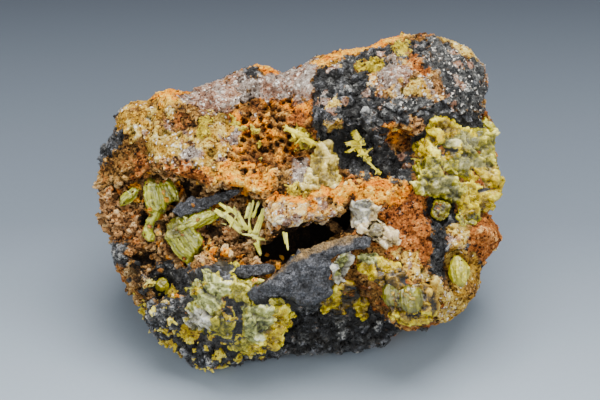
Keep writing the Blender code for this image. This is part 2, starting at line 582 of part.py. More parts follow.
class Specimen:
    """The pieces on the rock, from the outermost in, and the sockets that they leave in what is under them."""

    def __init__(self):
        self.parts = collection("pyromorphite_specimen")
        self.sockets = collection("sockets")
        self.materials = {name: material(name, *look) for name, look in COLOURS.items()}
        below = bmesh.new()
        bmesh.ops.create_cube(below, size=GROUND_SIZE * MM)
        bmesh.ops.translate(below, verts=below.verts, vec=(0, 0, -GROUND_SIZE / 2 * MM))
        self.cutter("ground", below)

    def cutter(self, name, shape):
        """Keeps a shape to be cut out of every piece that is still to come."""
        made = from_bmesh(name, shape, self.sockets)
        made.hide_render = True
        made.display_type = "WIRE"

    def add(self, name, colour, build):
        """Adds a piece whose members `build` gives, and cuts the sockets made so far out of it."""
        solid = united(name, build(0.0), self.parts)
        self.finish(solid, colour)
        for member in build(SOCKET_GAP):
            self.cutter(name + "_socket", member)

    def finish(self, solid, colour):
        """Cuts the ground and the sockets out of a solid, and gives it its colour."""
        cut = solid.modifiers.new("Sockets", "BOOLEAN")
        cut.operation = "DIFFERENCE"
        cut.solver = "EXACT"
        cut.operand_type = "COLLECTION"
        cut.collection = self.sockets
        applied(solid)
        whole(solid)
        solid.data.materials.clear()
        solid.data.materials.append(self.materials[colour])


def crust(surface, outline, thickness, lumps, depth=CRUST_DEPTH, drop=CRUST_DROP):
    """Gives the builder of a lumpy crust. It swells inward, and bridges holes deeper than `drop` under its edge."""
    lowest = np.median([surface.towards(*place) for place in outline]) - drop

    def level(across, up):
        return max(surface.towards(across, up), lowest)

    def front(across, up):
        inward = edge_distance(np.array([across]), np.array([up]), outline)[0]
        lump = noise.noise(Vector((across, up, thickness)) / 2.6)
        return level(across, up) + thickness * (0.35 + 0.65 * ease(inward, 0.0, 3.0)) + lumps * lump

    return lambda grow: [patch(outline, front, lambda across, up: level(across, up) - depth, grow)]


def slab(outline, level, thickness, dome):
    """Gives the builder of a free slab that is `dome` thicker along its middle than at its edge."""
    def front(across, up):
        inward = edge_distance(np.array([across]), np.array([up]), outline)[0]
        return level + dome * ease(inward, 0.0, 1.6) + 0.3 * noise.noise(Vector((across, up, 3.0)))

    return lambda grow: [patch(outline, front, lambda across, up: level - thickness, grow)]


def plate(surface):
    """Gives the builder of the oxide plate, with its lower face and its upper face meeting at a fold."""
    fold = np.array(PLATE_FOLD)
    crest = surface.towards(*PLATE_FOLD[0]) + 3.4

    def front(across, up):
        over = up - np.interp(across, fold[:, 0], fold[:, 1])
        rough = 0.5 * noise.noise(Vector((across, up, 7.0)) / 2.2)
        return crest - (0.95 * over if over > 0 else -0.28 * over) + 0.05 * across + rough

    def back(across, up):
        return min(front(across, up) - 2.4, crest - 7.0)

    return lambda grow: [patch(PLATE, front, back, grow)]


def main():
    clear_scene()
    specimen = Specimen()
    rock = from_bmesh("gossan_matrix", rock_body(), specimen.parts)
    closed = rock.modifiers.new("Closed", "REMESH")
    closed.mode = "VOXEL"
    closed.voxel_size = ROCK_VOXEL * MM
    applied(rock)
    thin = rock.modifiers.new("Thin", "DECIMATE")
    thin.ratio = ROCK_TRIANGLES / (2 * len(rock.data.polygons))
    applied(rock)
    surface = Surface([rock])
    bare_plate = united("bare_plate", plate(surface)(0.0), specimen.parts)
    over_plate = Surface([rock, bare_plate])
    bpy.data.objects.remove(bare_plate)

    specimen.add("plate_patch", "pale", crust(over_plate, PLATE_PATCH, 1.2, 0.4, 0.8, 1.5))
    lens_level = surface.towards(*LENS_ROOT) + LENS_OVER
    specimen.add("manganese_oxide_lens", "oxide", slab(LENS, lens_level, 1.6, 1.2))
    for name, colour, root, crystals in GROUPS:
        floor = surface.towards(*root)
        specimen.add(name, colour, lambda grow: [prism(crystal, floor, grow) for crystal in crystals])
    splinter_level = surface.towards(*SPLINTER_ROOT) + SPLINTER_OVER
    specimen.add("manganese_oxide_splinter", "oxide", slab(SPLINTER, splinter_level, 3.0, 1.0))
    specimen.add("manganese_oxide_plate", "oxide", plate(surface))
    specimen.add("yellow_blades", "yellow", crust(surface, YELLOW_BLADES, 2.2, 1.6))
    specimen.add("pale_blade", "pale", crust(surface, PALE_BLADE, 2.0, 0.5))
    specimen.add("pale_crust", "pale", crust(surface, PALE_CRUST, 1.6, 0.7, drop=2.0))
    specimen.add("right_crust", "yellow", crust(surface, RIGHT_CRUST, 2.2, 1.6))
    specimen.add("lower_left_crust", "pale", crust(surface, LOWER_LEFT_CRUST, 2.2, 1.3))

    barrel_floor = surface.towards(*BARREL_ROOT)
    under_barrels = crust(surface, LOWER_RIGHT_CRUST, 1.8, 1.2)
    specimen.add("lower_right_crust", "yellow", lambda grow: under_barrels(grow) + [
        prism(crystal, barrel_floor, grow) for crystal in OLIVE_BARRELS])
    specimen.finish(rock, "gossan")


main()
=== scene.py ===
import math

import bmesh
import bpy
import numpy as np
from mathutils import Euler, Matrix, Vector, noise
from mathutils.bvhtree import BVHTree


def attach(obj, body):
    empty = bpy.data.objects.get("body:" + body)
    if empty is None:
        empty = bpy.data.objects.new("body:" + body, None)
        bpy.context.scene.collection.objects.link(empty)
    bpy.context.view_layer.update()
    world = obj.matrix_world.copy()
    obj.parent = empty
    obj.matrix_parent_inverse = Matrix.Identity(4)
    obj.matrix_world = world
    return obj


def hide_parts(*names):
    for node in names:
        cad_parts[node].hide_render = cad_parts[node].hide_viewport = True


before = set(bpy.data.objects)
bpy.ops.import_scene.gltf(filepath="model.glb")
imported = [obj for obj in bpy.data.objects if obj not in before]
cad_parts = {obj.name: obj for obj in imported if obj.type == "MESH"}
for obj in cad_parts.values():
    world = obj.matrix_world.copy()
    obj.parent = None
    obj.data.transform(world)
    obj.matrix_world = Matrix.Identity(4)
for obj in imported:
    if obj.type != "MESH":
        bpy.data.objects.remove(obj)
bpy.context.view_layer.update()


# ---- The sheet that the specimen stands on, the lamps and the camera ----
# A sheet of blue-grey card under softboxes, palest in front and darker towards the back: a graduated card
# and painted shade for the light that falls off behind. The specimen shows its display face to a viewer 35
# degrees above the sheet. A place on that face is (across, up) in millimetres; `towards` is the distance in
# front of the plane through the rock's middle, and sight lines meet at the eye.

MM = 0.001
SIGHT_RISE = math.radians(35)
SIGHT_LENGTH = 650.0
MIDDLE = np.array((-0.05, 1.5, 25.0))
VIEW_WIDTH = 120.0
SENSOR_WIDTH = 36.0
NEAREST_SEEN = 20.0
ACROSS = np.array((1.0, 0.0, 0.0))
UP = np.array((0.0, math.sin(SIGHT_RISE), math.cos(SIGHT_RISE)))
TOWARDS = np.array((0.0, -math.cos(SIGHT_RISE), math.sin(SIGHT_RISE)))
EYE = MIDDLE + SIGHT_LENGTH * TOWARDS


def aimed(thing, place, at):
    thing.location = Vector(place) * MM
    thing.rotation_euler = (Vector(at) - Vector(place)).to_track_quat("-Z", "Y").to_euler()


def linked(name, data):
    made = bpy.data.objects.new(name, data)
    bpy.context.scene.collection.objects.link(made)
    return made


lens = bpy.data.cameras.new("viewer")
lens.sensor_width = SENSOR_WIDTH
lens.lens = SENSOR_WIDTH * SIGHT_LENGTH / VIEW_WIDTH
lens.clip_start = NEAREST_SEEN * MM
camera = linked("viewer", lens)
aimed(camera, EYE, MIDDLE)
bpy.context.scene.camera = camera

LAMPS_AIM_AT = (0, 0, 15)
ROOM_COLOUR = (0.68, 0.7, 0.73, 1)
ROOM_STRENGTH = 0.25

# Lamps: name, place, size, power in watts and colour.
for name, place, size, power, colour in (
        ("softbox_over", (40, 60, 440), 330, 4.8, (1.0, 0.985, 0.955)),
        ("softbox_left", (-400, -150, 230), 300, 1.5, (1.0, 0.98, 0.95)),
        ("softbox_right", (400, -150, 230), 300, 1.5, (1.0, 0.985, 0.96)),
        ("fill_front", (0, -520, 300), 420, 2.6, (1.0, 0.985, 0.96))):
    light = bpy.data.lights.new(name, "AREA")
    light.size = size * MM
    light.energy = power
    light.color = colour
    aimed(linked(name, light), place, LAMPS_AIM_AT)

room = bpy.data.worlds.new("room")
room.use_nodes = True
room.node_tree.nodes["Background"].inputs["Color"].default_value = ROOM_COLOUR
room.node_tree.nodes["Background"].inputs["Strength"].default_value = ROOM_STRENGTH
bpy.context.scene.world = room

SHEET_SIZE = 2400.0
SHEET_NEAR, SHEET_FAR = -32.0, 120.0
# The card's colours from near to far, darker towards the back as a graduated card and as painted shade for
# the light that falls off: (share of the way, colour).
SHEET_SHADES = [(0.0, (0.235, 0.285, 0.34)), (0.4, (0.104, 0.131, 0.168)), (1.0, (0.0255, 0.0345, 0.050))]


def join(tree, source, target):
    """Links an output to an input, or sets the input to a plain value."""
    if isinstance(source, bpy.types.NodeSocket):
        tree.links.new(source, target)
    else:
        target.default_value = source


def node(tree, kind, out=0, settings=(), **inputs):
    """Adds a node, fills its inputs by name or number (written _0, _1...), and gives its output."""
    made = tree.nodes.new(kind)
    for key, value in dict(settings).items():
        setattr(made, key, value)
    for key, value in inputs.items():
        socket = made.inputs[int(key[1:])] if key[0] == "_" else made.inputs[key.replace("_", " ")]
        join(tree, value, socket)
    return made.outputs[out]


def ramp(tree, factor, stops):
    """A colour ramp; stops are (place, colour)."""
    made = tree.nodes.new("ShaderNodeValToRGB")
    marks = made.color_ramp.elements
    while len(marks) < len(stops):
        marks.new(1.0)
    for mark, (place, colour) in zip(marks, stops):
        mark.position = place
        mark.color = (*colour, 1)
    join(tree, factor, made.inputs["Fac"])
    return made.outputs["Color"]


def mix(tree, factor, one, other, blend="MIX"):
    made = tree.nodes.new("ShaderNodeMix")
    made.data_type = "RGBA"
    made.blend_type = blend
    join(tree, factor, made.inputs[0])
    for socket, value in ((made.inputs[6], one), (made.inputs[7], other)):
        join(tree, value if isinstance(value, bpy.types.NodeSocket) else (*value, 1), socket)
    return made.outputs[2]


def new_material(name):
    made = bpy.data.materials.new(name)
    made.use_nodes = True
    tree = made.node_tree
    return made, tree, tree.nodes["Principled BSDF"]


def sheet_material():
    made, tree, shader = new_material("card_sheet")
    place = node(tree, "ShaderNodeTexCoord", out="Object")
    depth = node(tree, "ShaderNodeSeparateXYZ", out="Y", Vector=place)
    far = node(tree, "ShaderNodeMapRange", Value=depth, From_Min=SHEET_NEAR * MM, From_Max=SHEET_FAR * MM)
    fibre = node(tree, "ShaderNodeTexNoise", Vector=place, Scale=900.0, Detail=2.0)
    shade = ramp(tree, far, SHEET_SHADES)
    join(tree, mix(tree, 0.03, shade, fibre, "OVERLAY"), shader.inputs["Base Color"])
    shader.inputs["Roughness"].default_value = 0.7
    return made


shape = bmesh.new()
bmesh.ops.create_grid(shape, x_segments=8, y_segments=8, size=SHEET_SIZE / 2 * MM)
sheet_mesh = bpy.data.meshes.new("card_sheet")
shape.to_mesh(sheet_mesh)
shape.free()
sheet = linked("card_sheet", sheet_mesh)
sheet_mesh.materials.append(sheet_material())


# ---- The rock ----
# One lump of gossan: spongy brown limonite, ochre and rust-red crusts, sugary quartz and black manganese
# oxide. It broke out along rough fractures, and its open face was leached into hollows and honeycomb.

ROCK_VOXEL = 0.8
# The crusts' own shapes are drawn in this far where the rock fills them from within.
ROCK_UNDER_CRUSTS = -0.45
# Faces that turn to the viewer more than this (the cosine) are split finer.
FRONT_FACES = 0.05
# How far the rock draws back around the crystals and blades that stand free of it.
ROOM_AROUND_CRYSTALS = 0.9
# Rounds of averaging that find pits, and those that find hollows.
ROCK_ROUNDS = (5, 60)
# How far the rock's middle plane leans back for each millimetre up the display face.
BODY_LEAN = -0.12

# The minerals of the display face, and 'dark' patches of painted shade in its shadowed hollows, in the order
# in which they lie over each other: mineral, how wide its edge wanders, and outline.
ZONES = [
    ("rust", 1.2, [
        (18.8, -0.6), (22.4, 2.4), (25.4, 0.4), (26.4, -3.0), (26.0, -7.0), (26.8, -12.4), (24.4, -14.6),
        (21.0, -12.8), (18.0, -10.4), (15.6, -8.0), (14.2, -4.4), (15.2, -1.2)]),
    ("honey", 1.5, [
        (-13.6, 17.6), (-7.6, 20.0), (0.0, 20.0), (2.6, 20.4), (2.6, 14.0), (0.0, 8.0), (-4.0, 6.0),
        (-10.0, 6.4), (-14.4, 8.0), (-15.2, 12.0)]),
    ("oxide", 0.4, [
        (2.2, 23.0), (3.6, 27.6), (8.0, 29.2), (15.0, 30.6), (20.0, 32.0), (28.0, 32.0), (34.0, 30.8),
        (37.4, 27.6), (37.2, 23.0), (36.8, 19.0), (37.4, 15.6), (39.6, 14.4), (36.0, 13.4), (32.4, 12.0),
        (29.2, 12.0), (24.8, 10.0), (22.4, 9.0), (22.8, 6.4), (21.6, 3.6), (16.0, 4.4), (12.0, 4.4),
        (9.0, 5.6), (7.2, 8.0), (6.0, 12.0), (3.0, 13.0), (2.2, 18.0)]),
    ("ochre", 1.4, [
        (-38.6, 16.8), (-35.4, 20.6), (-29.6, 21.4), (-28.0, 23.4), (-23.0, 23.4), (-20.0, 22.0),
        (-20.8, 19.6), (-26.0, 18.0), (-30.0, 16.0), (-32.0, 11.6), (-35.2, 12.0), (-38.0, 14.0)]),
    ("cream", 2.0, [
        (-33.0, 15.0), (-27.0, 17.6), (-21.0, 17.2), (-17.0, 17.6), (-13.0, 17.6), (-13.6, 13.0),
        (-15.6, 8.0), (-18.0, 4.4), (-22.0, 3.6), (-27.0, 5.4), (-30.0, 8.0), (-32.8, 10.8)]),
    ("quartz", 1.8, [
        (-20.8, 22.0), (-17.0, 23.6), (-12.0, 26.8), (-7.6, 27.6), (-3.0, 27.0), (2.4, 28.6), (3.6, 28.0),
        (2.6, 20.8), (0.0, 20.0), (-6.0, 20.4), (-12.0, 18.8), (-17.0, 17.2), (-22.0, 16.8), (-24.4, 18.4)]),
    ("gold", 0.5, [
        (2.0, 27.4), (9.0, 30.4), (14.4, 31.8), (19.0, 33.4), (22.4, 33.6), (20.0, 31.6), (15.0, 30.0),
        (9.0, 28.4), (4.0, 26.4)]),
    ("cream", 0.8, [
        (27.0, 33.4), (32.4, 32.6), (36.4, 30.4), (36.6, 27.2), (34.0, 28.2), (31.0, 29.8), (27.2, 31.2)]),
    ("pink", 1.6, [
        (14.0, 26.4), (17.0, 27.6), (21.0, 28.4), (25.0, 26.8), (28.0, 24.4), (29.2, 22.4), (27.2, 20.8),
        (23.0, 20.6), (19.0, 21.6), (16.0, 20.8), (13.6, 22.4)]),
    ("orange", 0.6, [
        (-12.4, 27.6), (-7.6, 28.6), (-2.2, 27.4), (-3.0, 25.2), (-7.6, 25.6), (-11.2, 25.2)]),
    ("orange", 1.0, [
        (-30.4, 21.0), (-28.0, 23.6), (-22.0, 23.2), (-21.4, 21.0), (-26.0, 19.6)]),
    ("rust", 1.0, [(-2.0, 18.0), (1.6, 17.6), (2.6, 13.6), (0.4, 12.2), (-2.0, 14.4)]),
    ("orange", 1.2, [
        (-20.4, 6.0), (-14.4, 7.6), (-9.6, 6.4), (-5.2, 5.6), (-6.4, 2.4), (-10.0, 0.8), (-12.8, 2.0),
        (-17.2, 2.4), (-20.8, 3.4)]),
    ("brown", 0.8, [
        (-41.6, 8.0), (-39.2, 11.0), (-37.0, 13.0), (-34.8, 11.8), (-32.0, 10.8), (-30.0, 8.0),
        (-26.8, 5.6), (-28.0, 4.4), (-32.0, 4.0), (-37.0, 3.6), (-41.0, 5.0)]),
    ("orange", 1.3, [
        (-6.4, 2.0), (0.0, 3.2), (6.0, 3.6), (13.0, 4.4), (19.6, 4.0), (22.0, 2.8), (22.4, 0.0), (19.2, -1.0),
        (14.4, 0.0), (10.0, 0.4), (8.0, -1.0), (3.6, -2.0), (-2.0, -2.4), (-5.6, -1.0)]),
    ("pink", 1.2, [
        (-4.8, -0.6), (0.0, -1.0), (6.0, -1.0), (8.4, -2.4), (6.8, -4.8), (2.0, -5.2), (-2.0, -6.4),
        (-5.6, -6.6), (-7.6, -4.4)]),
    ("oxide", 1.2, [
        (25.0, 0.4), (30.4, 1.2), (31.6, -5.6), (34.4, -8.0), (36.8, -10.0), (38.2, -17.0), (35.6, -18.4),
        (32.4, -10.0), (29.6, -12.4), (29.2, -17.0), (26.8, -14.4), (26.0, -9.0), (26.8, -4.0)]),
    ("rust", 0.9, [
        (33.2, -6.4), (34.4, -3.2), (38.4, -2.0), (41.8, -6.4), (41.0, -10.4), (36.8, -12.4), (33.6, -10.0)]),
    ("cream", 1.6, [
        (20.0, -10.0), (26.0, -13.2), (29.2, -18.0), (32.4, -20.0), (34.0, -18.4), (37.0, -18.0),
        (35.8, -21.4), (31.0, -24.6), (28.0, -25.4), (27.2, -20.0), (24.0, -17.0), (20.0, -14.4)]),
    ("oxide", 0.8, [
        (-4.0, -20.6), (6.0, -20.0), (12.4, -21.0), (16.8, -22.4), (20.4, -25.4), (20.8, -28.0),
        (12.0, -32.0), (4.0, -32.4), (-3.0, -32.4), (-4.0, -28.0)]),
    ("oxide", 1.4, [
        (-32.4, -19.6), (-27.0, -19.6), (-22.6, -19.6), (-22.0, -26.0), (-17.0, -29.0), (-11.0, -30.0),
        (-9.0, -34.4), (-17.0, -35.0), (-23.6, -33.6), (-29.0, -30.4), (-33.0, -25.0)]),
    ("hollow", 1.0, [
        (-40.4, 3.2), (-30.0, 4.4), (-25.0, 4.4), (-19.0, 3.6), (-12.0, 1.6), (-7.6, -0.4), (-6.4, -6.0),
        (-8.0, -12.4), (-12.0, -12.8), (-19.0, -12.4), (-22.0, -12.8), (-24.0, -16.0), (-28.0, -20.0),
        (-31.6, -20.0), (-36.6, -13.6), (-39.0, -10.0), (-41.0, -2.0)]),
    ("clay", 1.2, [
        (-41.0, 2.0), (-35.0, 2.4), (-32.0, -3.0), (-30.4, -8.0), (-33.0, -12.4), (-36.8, -9.4),
        (-40.6, -3.0)]),
    ("oxide", 1.0, [
        (-30.0, -12.4), (-26.0, -11.6), (-22.0, -13.6), (-21.6, -17.0), (-25.0, -20.0), (-29.0, -19.6),
        (-30.8, -16.0)]),
    ("oxide", 0.5, [(-38.6, -8.6), (-34.8, -8.6), (-34.0, -12.4), (-35.6, -14.0), (-38.6, -12.4)]),
    ("oxide", 0.8, [
        (-24.0, -15.0), (-18.0, -12.4), (-12.0, -13.6), (-6.0, -17.6), (0.6, -19.4), (1.0, -24.0),
        (-4.0, -32.0), (-14.0, -34.0), (-22.0, -29.0)]),
    ("clay", 0.8, [
        (-11.2, -14.4), (-7.6, -14.0), (-4.0, -13.6), (-4.4, -17.2), (-7.6, -18.0), (-10.8, -16.8)]),
    # Painted shade: a near-black 'dark' patch where the recess under the shelf lies in shadow.
    ("dark", 0.5, [
        (-7.6, -10.0), (-5.0, -7.4), (-1.6, -6.6), (0.4, -4.8), (5.2, -4.6), (10.0, -1.8), (10.8, -5.8),
        (5.0, -8.4), (0.0, -10.4), (-3.0, -12.0), (-6.8, -12.4)]),
    ("ash", 1.2, [
        (25.2, 30), (29.6, 32), (34, 30.4), (37.6, 26.4), (37.4, 20.8), (36, 17.2), (32.4, 17.6),
        (29.2, 20), (28, 23.2), (26, 26.8)]),
    ("quartz", 0.8, [(15.6, 28), (18.4, 28.8), (20.4, 27.2), (20, 24), (17.6, 22.4), (15.6, 24)]),
    ("rust", 0.8, [(21.2, 28.8), (23.6, 29.6), (25.4, 27.6), (24.8, 25.2), (22, 24.8)]),
    ("cream", 0.8, [(20, 24.4), (22.4, 24.8), (25.6, 23.6), (26.4, 21.2), (24, 20.4), (20.8, 21.6)]),
    ("clay", 0.6, [(26, 25.6), (28, 25.2), (29.4, 22.8), (28.4, 21.6), (26.4, 22.4)]),
    ("cream", 0.4, [(6.2, 28.2), (7.6, 28), (8, 26.4), (6.8, 26)]),
    ("yellow", 0.5, [
        (10.8, 27.2), (13.2, 27.6), (14.4, 28.6), (15.8, 28), (15.6, 26), (13.6, 25.6), (11.2, 25.8)]),
    ("yellow", 0.5, [(18.4, 30.8), (20.4, 31.6), (22.2, 30.4), (21.6, 29), (19.2, 29)]),
    ("cream", 0.6, [(29.6, 31.6), (32, 31.6), (35.2, 30.4), (36, 28.8), (33.6, 28.4), (30.4, 29.6)]),
    ("ash", 0.8, [(16.8, 20.8), (20.8, 21.2), (26, 20.8), (26, 18.8), (22, 17.2), (18.4, 18)]),
    ("cream", 0.5, [(4.6, 20.4), (7.6, 20.6), (8.4, 18.8), (6.4, 17.6), (4.8, 18.4)]),
    ("cream", 0.5, [(4.2, 16.2), (8, 16.4), (8.4, 14.6), (5.6, 13.8)]),
    ("clay", 0.6, [(21.6, 16.4), (24.8, 16.8), (25.6, 14.8), (23.2, 13.6), (21.6, 14.4)]),
    ("honey", 0.8, [(17.6, 14.8), (20.4, 15.6), (22.8, 13.6), (22.4, 10.4), (19.6, 9.2), (17.6, 11.6)]),
    ("quartz", 1.0, [(-2, 8), (1.2, 8.8), (3.6, 7.2), (3.2, 3.6), (0, 1.6), (-2.4, 2.8)]),
    ("yellow", 0.7, [(-2.4, 14.4), (0, 14.8), (2.8, 12.8), (2.4, 11.2), (-0.4, 11.6), (-2.4, 12.4)]),
    ("yellow", 0.6, [(-2.4, 3.2), (0.8, 3.2), (2.8, 2), (0.8, 0.4), (-2, 0.8)]),
    ("oxide", 0.5, [(-11.4, 25.8), (-9.6, 26.8), (-7.6, 25.8), (-8.4, 24.2), (-10.8, 24.4)]),
    ("sugar", 1.2, [
        (-21.4, 22.4), (-18.8, 24.4), (-15.6, 25.6), (-12.4, 25.2), (-12.8, 22), (-14.8, 19.2),
        (-17.2, 17.6), (-19.6, 16.4), (-21.6, 18.4)]),
    ("brown", 1.0, [(-26, 18.4), (-22.8, 19.2), (-18.8, 17.6), (-18.4, 14.4), (-20.8, 12.8), (-24.4, 13.6)]),
    ("yellow", 0.4, [(-19.6, 17.2), (-18.4, 17.2), (-18, 12.8), (-20.8, 12.4), (-20, 14.4)]),
    ("oxide", 0.7, [
        (-40.8, 8.8), (-39.4, 12.4), (-35.6, 14), (-35.2, 11.6), (-37.6, 10), (-38.8, 7.2), (-40.4, 7.2)]),
    ("quartz", 0.8, [(-24, 10), (-20.8, 10.8), (-19.6, 8.4), (-22, 6.8), (-24, 7.6)]),
    ("rust", 0.8, [
        (-28, 8), (-24.8, 7.6), (-20.8, 6.4), (-17.2, 4.8), (-18.8, 3.2), (-22.8, 4), (-26.4, 5.6)]),
    ("gold", 0.9, [
        (-17.2, 8.4), (-13.6, 8), (-10.8, 5.6), (-7.6, 3.2), (-8.8, 1.6), (-12.8, 2.8), (-16.4, 4.8)]),
    ("cream", 0.7, [(29.6, -5.2), (32.4, -4.4), (33.6, -6.4), (32.8, -10), (30.4, -10.8), (29.2, -8)]),
    ("ochre", 0.8, [
        (29.6, -9.2), (32.4, -9.2), (35.6, -11.6), (37.6, -16.4), (36, -20.4), (32.8, -21.2), (30.4, -18)]),
    # Painted shade: 'dark' patches where the hollows lie in shadow.
    ("dark", 0.5, [(-24.8, 4.0), (-22.6, 3.6), (-22.4, 1.2), (-24.4, 1.0)]),
    ("dark", 0.5, [(-32.4, -1.8), (-29.8, -2.0), (-30.0, -4.6), (-32.2, -4.6)]),
    ("dark", 0.4, [(-25.0, -2.8), (-19.0, -1.2), (-18.6, -2.4), (-24.4, -4.4)]),
    ("dark", 0.5, [(-19.6, -4.6), (-16.0, -4.0), (-15.4, -6.6), (-19.0, -8.0)]),
    ("dark", 0.6, [(-5.6, -6.2), (3.0, -4.8), (9.0, -4.4), (8.6, -6.6), (1.0, -8.6), (-4.6, -9.4)]),
    ("dark", 0.6, [(-34.4, -11.0), (-29.8, -10.8), (-29.2, -13.4), (-33.6, -13.8)]),
]
MINERALS = (
    "ochre", "orange", "gold", "rust", "clay", "quartz", "sugar", "cream", "pink", "oxide", "ash", "honey",
    "hollow", "dark", "yellow")

# What fractal noise loses in height, and gains in fineness, from each octave to the next.
FALL, FINER = 1.0, 2.0
# Spreads the centres of cells, so that neighbours draw unlike numbers.
CELL_SPREAD = 31.7
FAR_AWAY = 1e9


def to_face(points):
    """Rows (across, up, towards) of world points in millimetres."""
    offset = np.asarray(points, float).reshape(-1, 3) - MIDDLE
    towards = offset @ TOWARDS
    nearer = 1 - towards / SIGHT_LENGTH
    return np.stack([offset @ ACROSS / nearer, offset @ UP / nearer, towards], axis=1)


def vectors(points, size, shift=0.0):
    """Points in units of `size`; a shift gives another part of the same pattern."""
    return [Vector(p) for p in (points + shift) / size]


def fractal(points, size, octaves=3, shift=0.0):
    """Fractal noise about 0, with its largest lumps `size` millimetres across."""
    return np.array([noise.fractal(v, FALL, FINER, octaves) for v in vectors(points, size, shift)])


def cells(points, size, shift=0.0):
    """For cells of about `size`: distance to the cell's edge, distance to its centre, and a random number."""
    edge, centre, chance = [], [], []
    for v in vectors(points, size, shift):
        distances, seeds = noise.voronoi(v)
        edge.append(distances[1] - distances[0])
        centre.append(distances[0])
        chance.append(noise.cell(seeds[0] * CELL_SPREAD))
    return np.array(edge), np.array(centre), np.array(chance)


def facets(points, size, shift=0.0):
    """Broken crystal faces about `size` across: the surface of each cell is a plane tilted its own way."""
    heights = []
    for v in vectors(points, size, shift):
        seed = noise.voronoi(v)[1][0]
        heights.append(noise.cell_vector(seed * CELL_SPREAD).dot(v - seed))
    return size * np.array(heights)


def ease(values, low, high):
    """0 below low, 1 above high, with a smooth step between."""
    share = np.clip((values - low) / (high - low), 0, 1)
    return share * share * (3 - 2 * share)


def edge_distance(across, up, edge):
    """Distance of places to a closed edge on the display face, positive inside it."""
    place = np.stack([across, up], axis=1)
    ends = np.array(edge)
    nearest = np.full(len(place), FAR_AWAY)
    inside = np.zeros(len(place), bool)
    for start, end in zip(ends, np.roll(ends, -1, axis=0)):
        side = end - start
        share = np.clip((place - start) @ side / (side @ side), 0, 1)
        nearest = np.minimum(nearest, np.linalg.norm(place - start - share[:, None] * side, axis=1))
        straddles = (start[1] > place[:, 1]) != (end[1] > place[:, 1])
        crossing = start[0] + side[0] * (place[:, 1] - start[1]) / (side[1] or 1e-9)
        inside ^= straddles & (place[:, 0] < crossing)
    return np.where(inside, nearest, -nearest)


def cad_copy(names, spread=0.0):
    """One mesh of several CAD nodes, with doubles merged, each pushed out by `spread` millimetres."""
    made = bmesh.new()
    for name in names:
        part = bmesh.new()
        part.from_mesh(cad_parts[name].data)
        bmesh.ops.transform(part, matrix=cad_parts[name].matrix_world, verts=part.verts)
        bmesh.ops.remove_doubles(part, verts=part.verts, dist=1e-6)
        part.normal_update()
        grow = spread if name != "gossan_matrix" else 0.0
        for vertex in part.verts:
            vertex.co += vertex.normal * grow * MM
        mesh = bpy.data.meshes.new(name)
        part.to_mesh(mesh)
        part.free()
        made.from_mesh(mesh)
        bpy.data.meshes.remove(mesh)
    return made


def object_from(name, made):
    mesh = bpy.data.meshes.new(name)
    made.to_mesh(mesh)
    made.free()
    return linked(name, mesh)


def evaluated(thing):
    """Gives the object the mesh that its modifiers make, and drops them."""
    graph = bpy.context.evaluated_depsgraph_get()
    mesh = bpy.data.meshes.new_from_object(thing.evaluated_get(graph))
    thing.modifiers.clear()
    thing.data = mesh
    return thing


def remeshed(thing, voxel, smoothing=0):
    even = thing.modifiers.new("Even", "REMESH")
    even.mode = "VOXEL"
    even.voxel_size = voxel * MM
    if smoothing:
        thing.modifiers.new("Smooth", "SMOOTH").iterations = smoothing
    return evaluated(thing)


def refined_front(thing, lowest):
    """Splits the faces that look at the viewer in four, so that they can carry finer relief."""
    shape = bmesh.new()
    shape.from_mesh(thing.data)
    shape.normal_update()
    sight = Vector(TOWARDS)
    seen = [f for f in shape.faces if f.normal.dot(sight) > lowest]
    edges = list({e for f in seen for e in f.edges})
    bmesh.ops.subdivide_edges(shape, edges=edges, cuts=1, use_grid_fill=True)
    shape.to_mesh(thing.data)
    shape.free()
    return thing


def read_points(mesh):
    points = np.empty(len(mesh.vertices) * 3)
    mesh.vertices.foreach_get("co", points)
    normals = np.empty(len(mesh.vertices) * 3)
    mesh.vertex_normals.foreach_get("vector", normals)
    return points.reshape(-1, 3) / MM, normals.reshape(-1, 3)


def write_points(mesh, points):
    mesh.vertices.foreach_set("co", (points * MM).ravel())
    mesh.update()


def store(mesh, name, values):
    layer = mesh.attributes.new(name, "FLOAT", "POINT")
    layer.data.foreach_set("value", np.asarray(values, np.float32))


def coat(thing, material):
    thing.data.materials.clear()
    thing.data.materials.append(material)


def above_sheet(points):
    """0 on the sheet and 1 from a millimetre above it, so that relief leaves the foot flat."""
    return ease(points[:, 2], 0.0, 1.0)


# What lies on the rock as a skin or a plate; the rock fills it from within.
GROWN_OVER = [
    "right_crust", "lower_left_crust", "lower_right_crust", "pale_crust", "pale_blade", "yellow_blades",
    "manganese_oxide_plate", "plate_patch"]


def group(name, inputs, outputs, build):
    """A shader node group; inputs and outputs are (name, socket kind, value) and (name, socket kind)."""
    made = bpy.data.node_groups.new(name, "ShaderNodeTree")
    for label, kind, value in inputs:
        made.interface.new_socket(name=label, in_out="INPUT", socket_type=kind).default_value = value
    for label, kind in outputs:
        made.interface.new_socket(name=label, in_out="OUTPUT", socket_type=kind)
    start = made.nodes.new("NodeGroupInput")
    end = made.nodes.new("NodeGroupOutput")
    build(made, start.outputs, end.inputs)
    return made


def use(tree, kind, **values):
    """Adds a group to a material's nodes, and gives its outputs."""
    made = tree.nodes.new("ShaderNodeGroup")
    made.node_tree = kind
    for key, value in values.items():
        join(tree, value, made.inputs[key])
    return made.outputs


def math_node(tree, operation, *values, clamp=False):
    made = tree.nodes.new("ShaderNodeMath")
    made.operation = operation
    made.use_clamp = clamp
    for socket, value in zip(made.inputs, values):
        join(tree, value, socket)
    return made.outputs[0]


def weighted(tree, *terms):
    """The sum of several values, each times its share; terms are (value, share)."""
    total = 0.0
    for value, share in terms:
        total = math_node(tree, "MULTIPLY_ADD", value, share, total)
    return total


def attribute(tree, name):
    """The value that the mesh keeps under this name at each point."""
    return node(tree, "ShaderNodeAttribute", out="Fac", settings={"attribute_name": name})


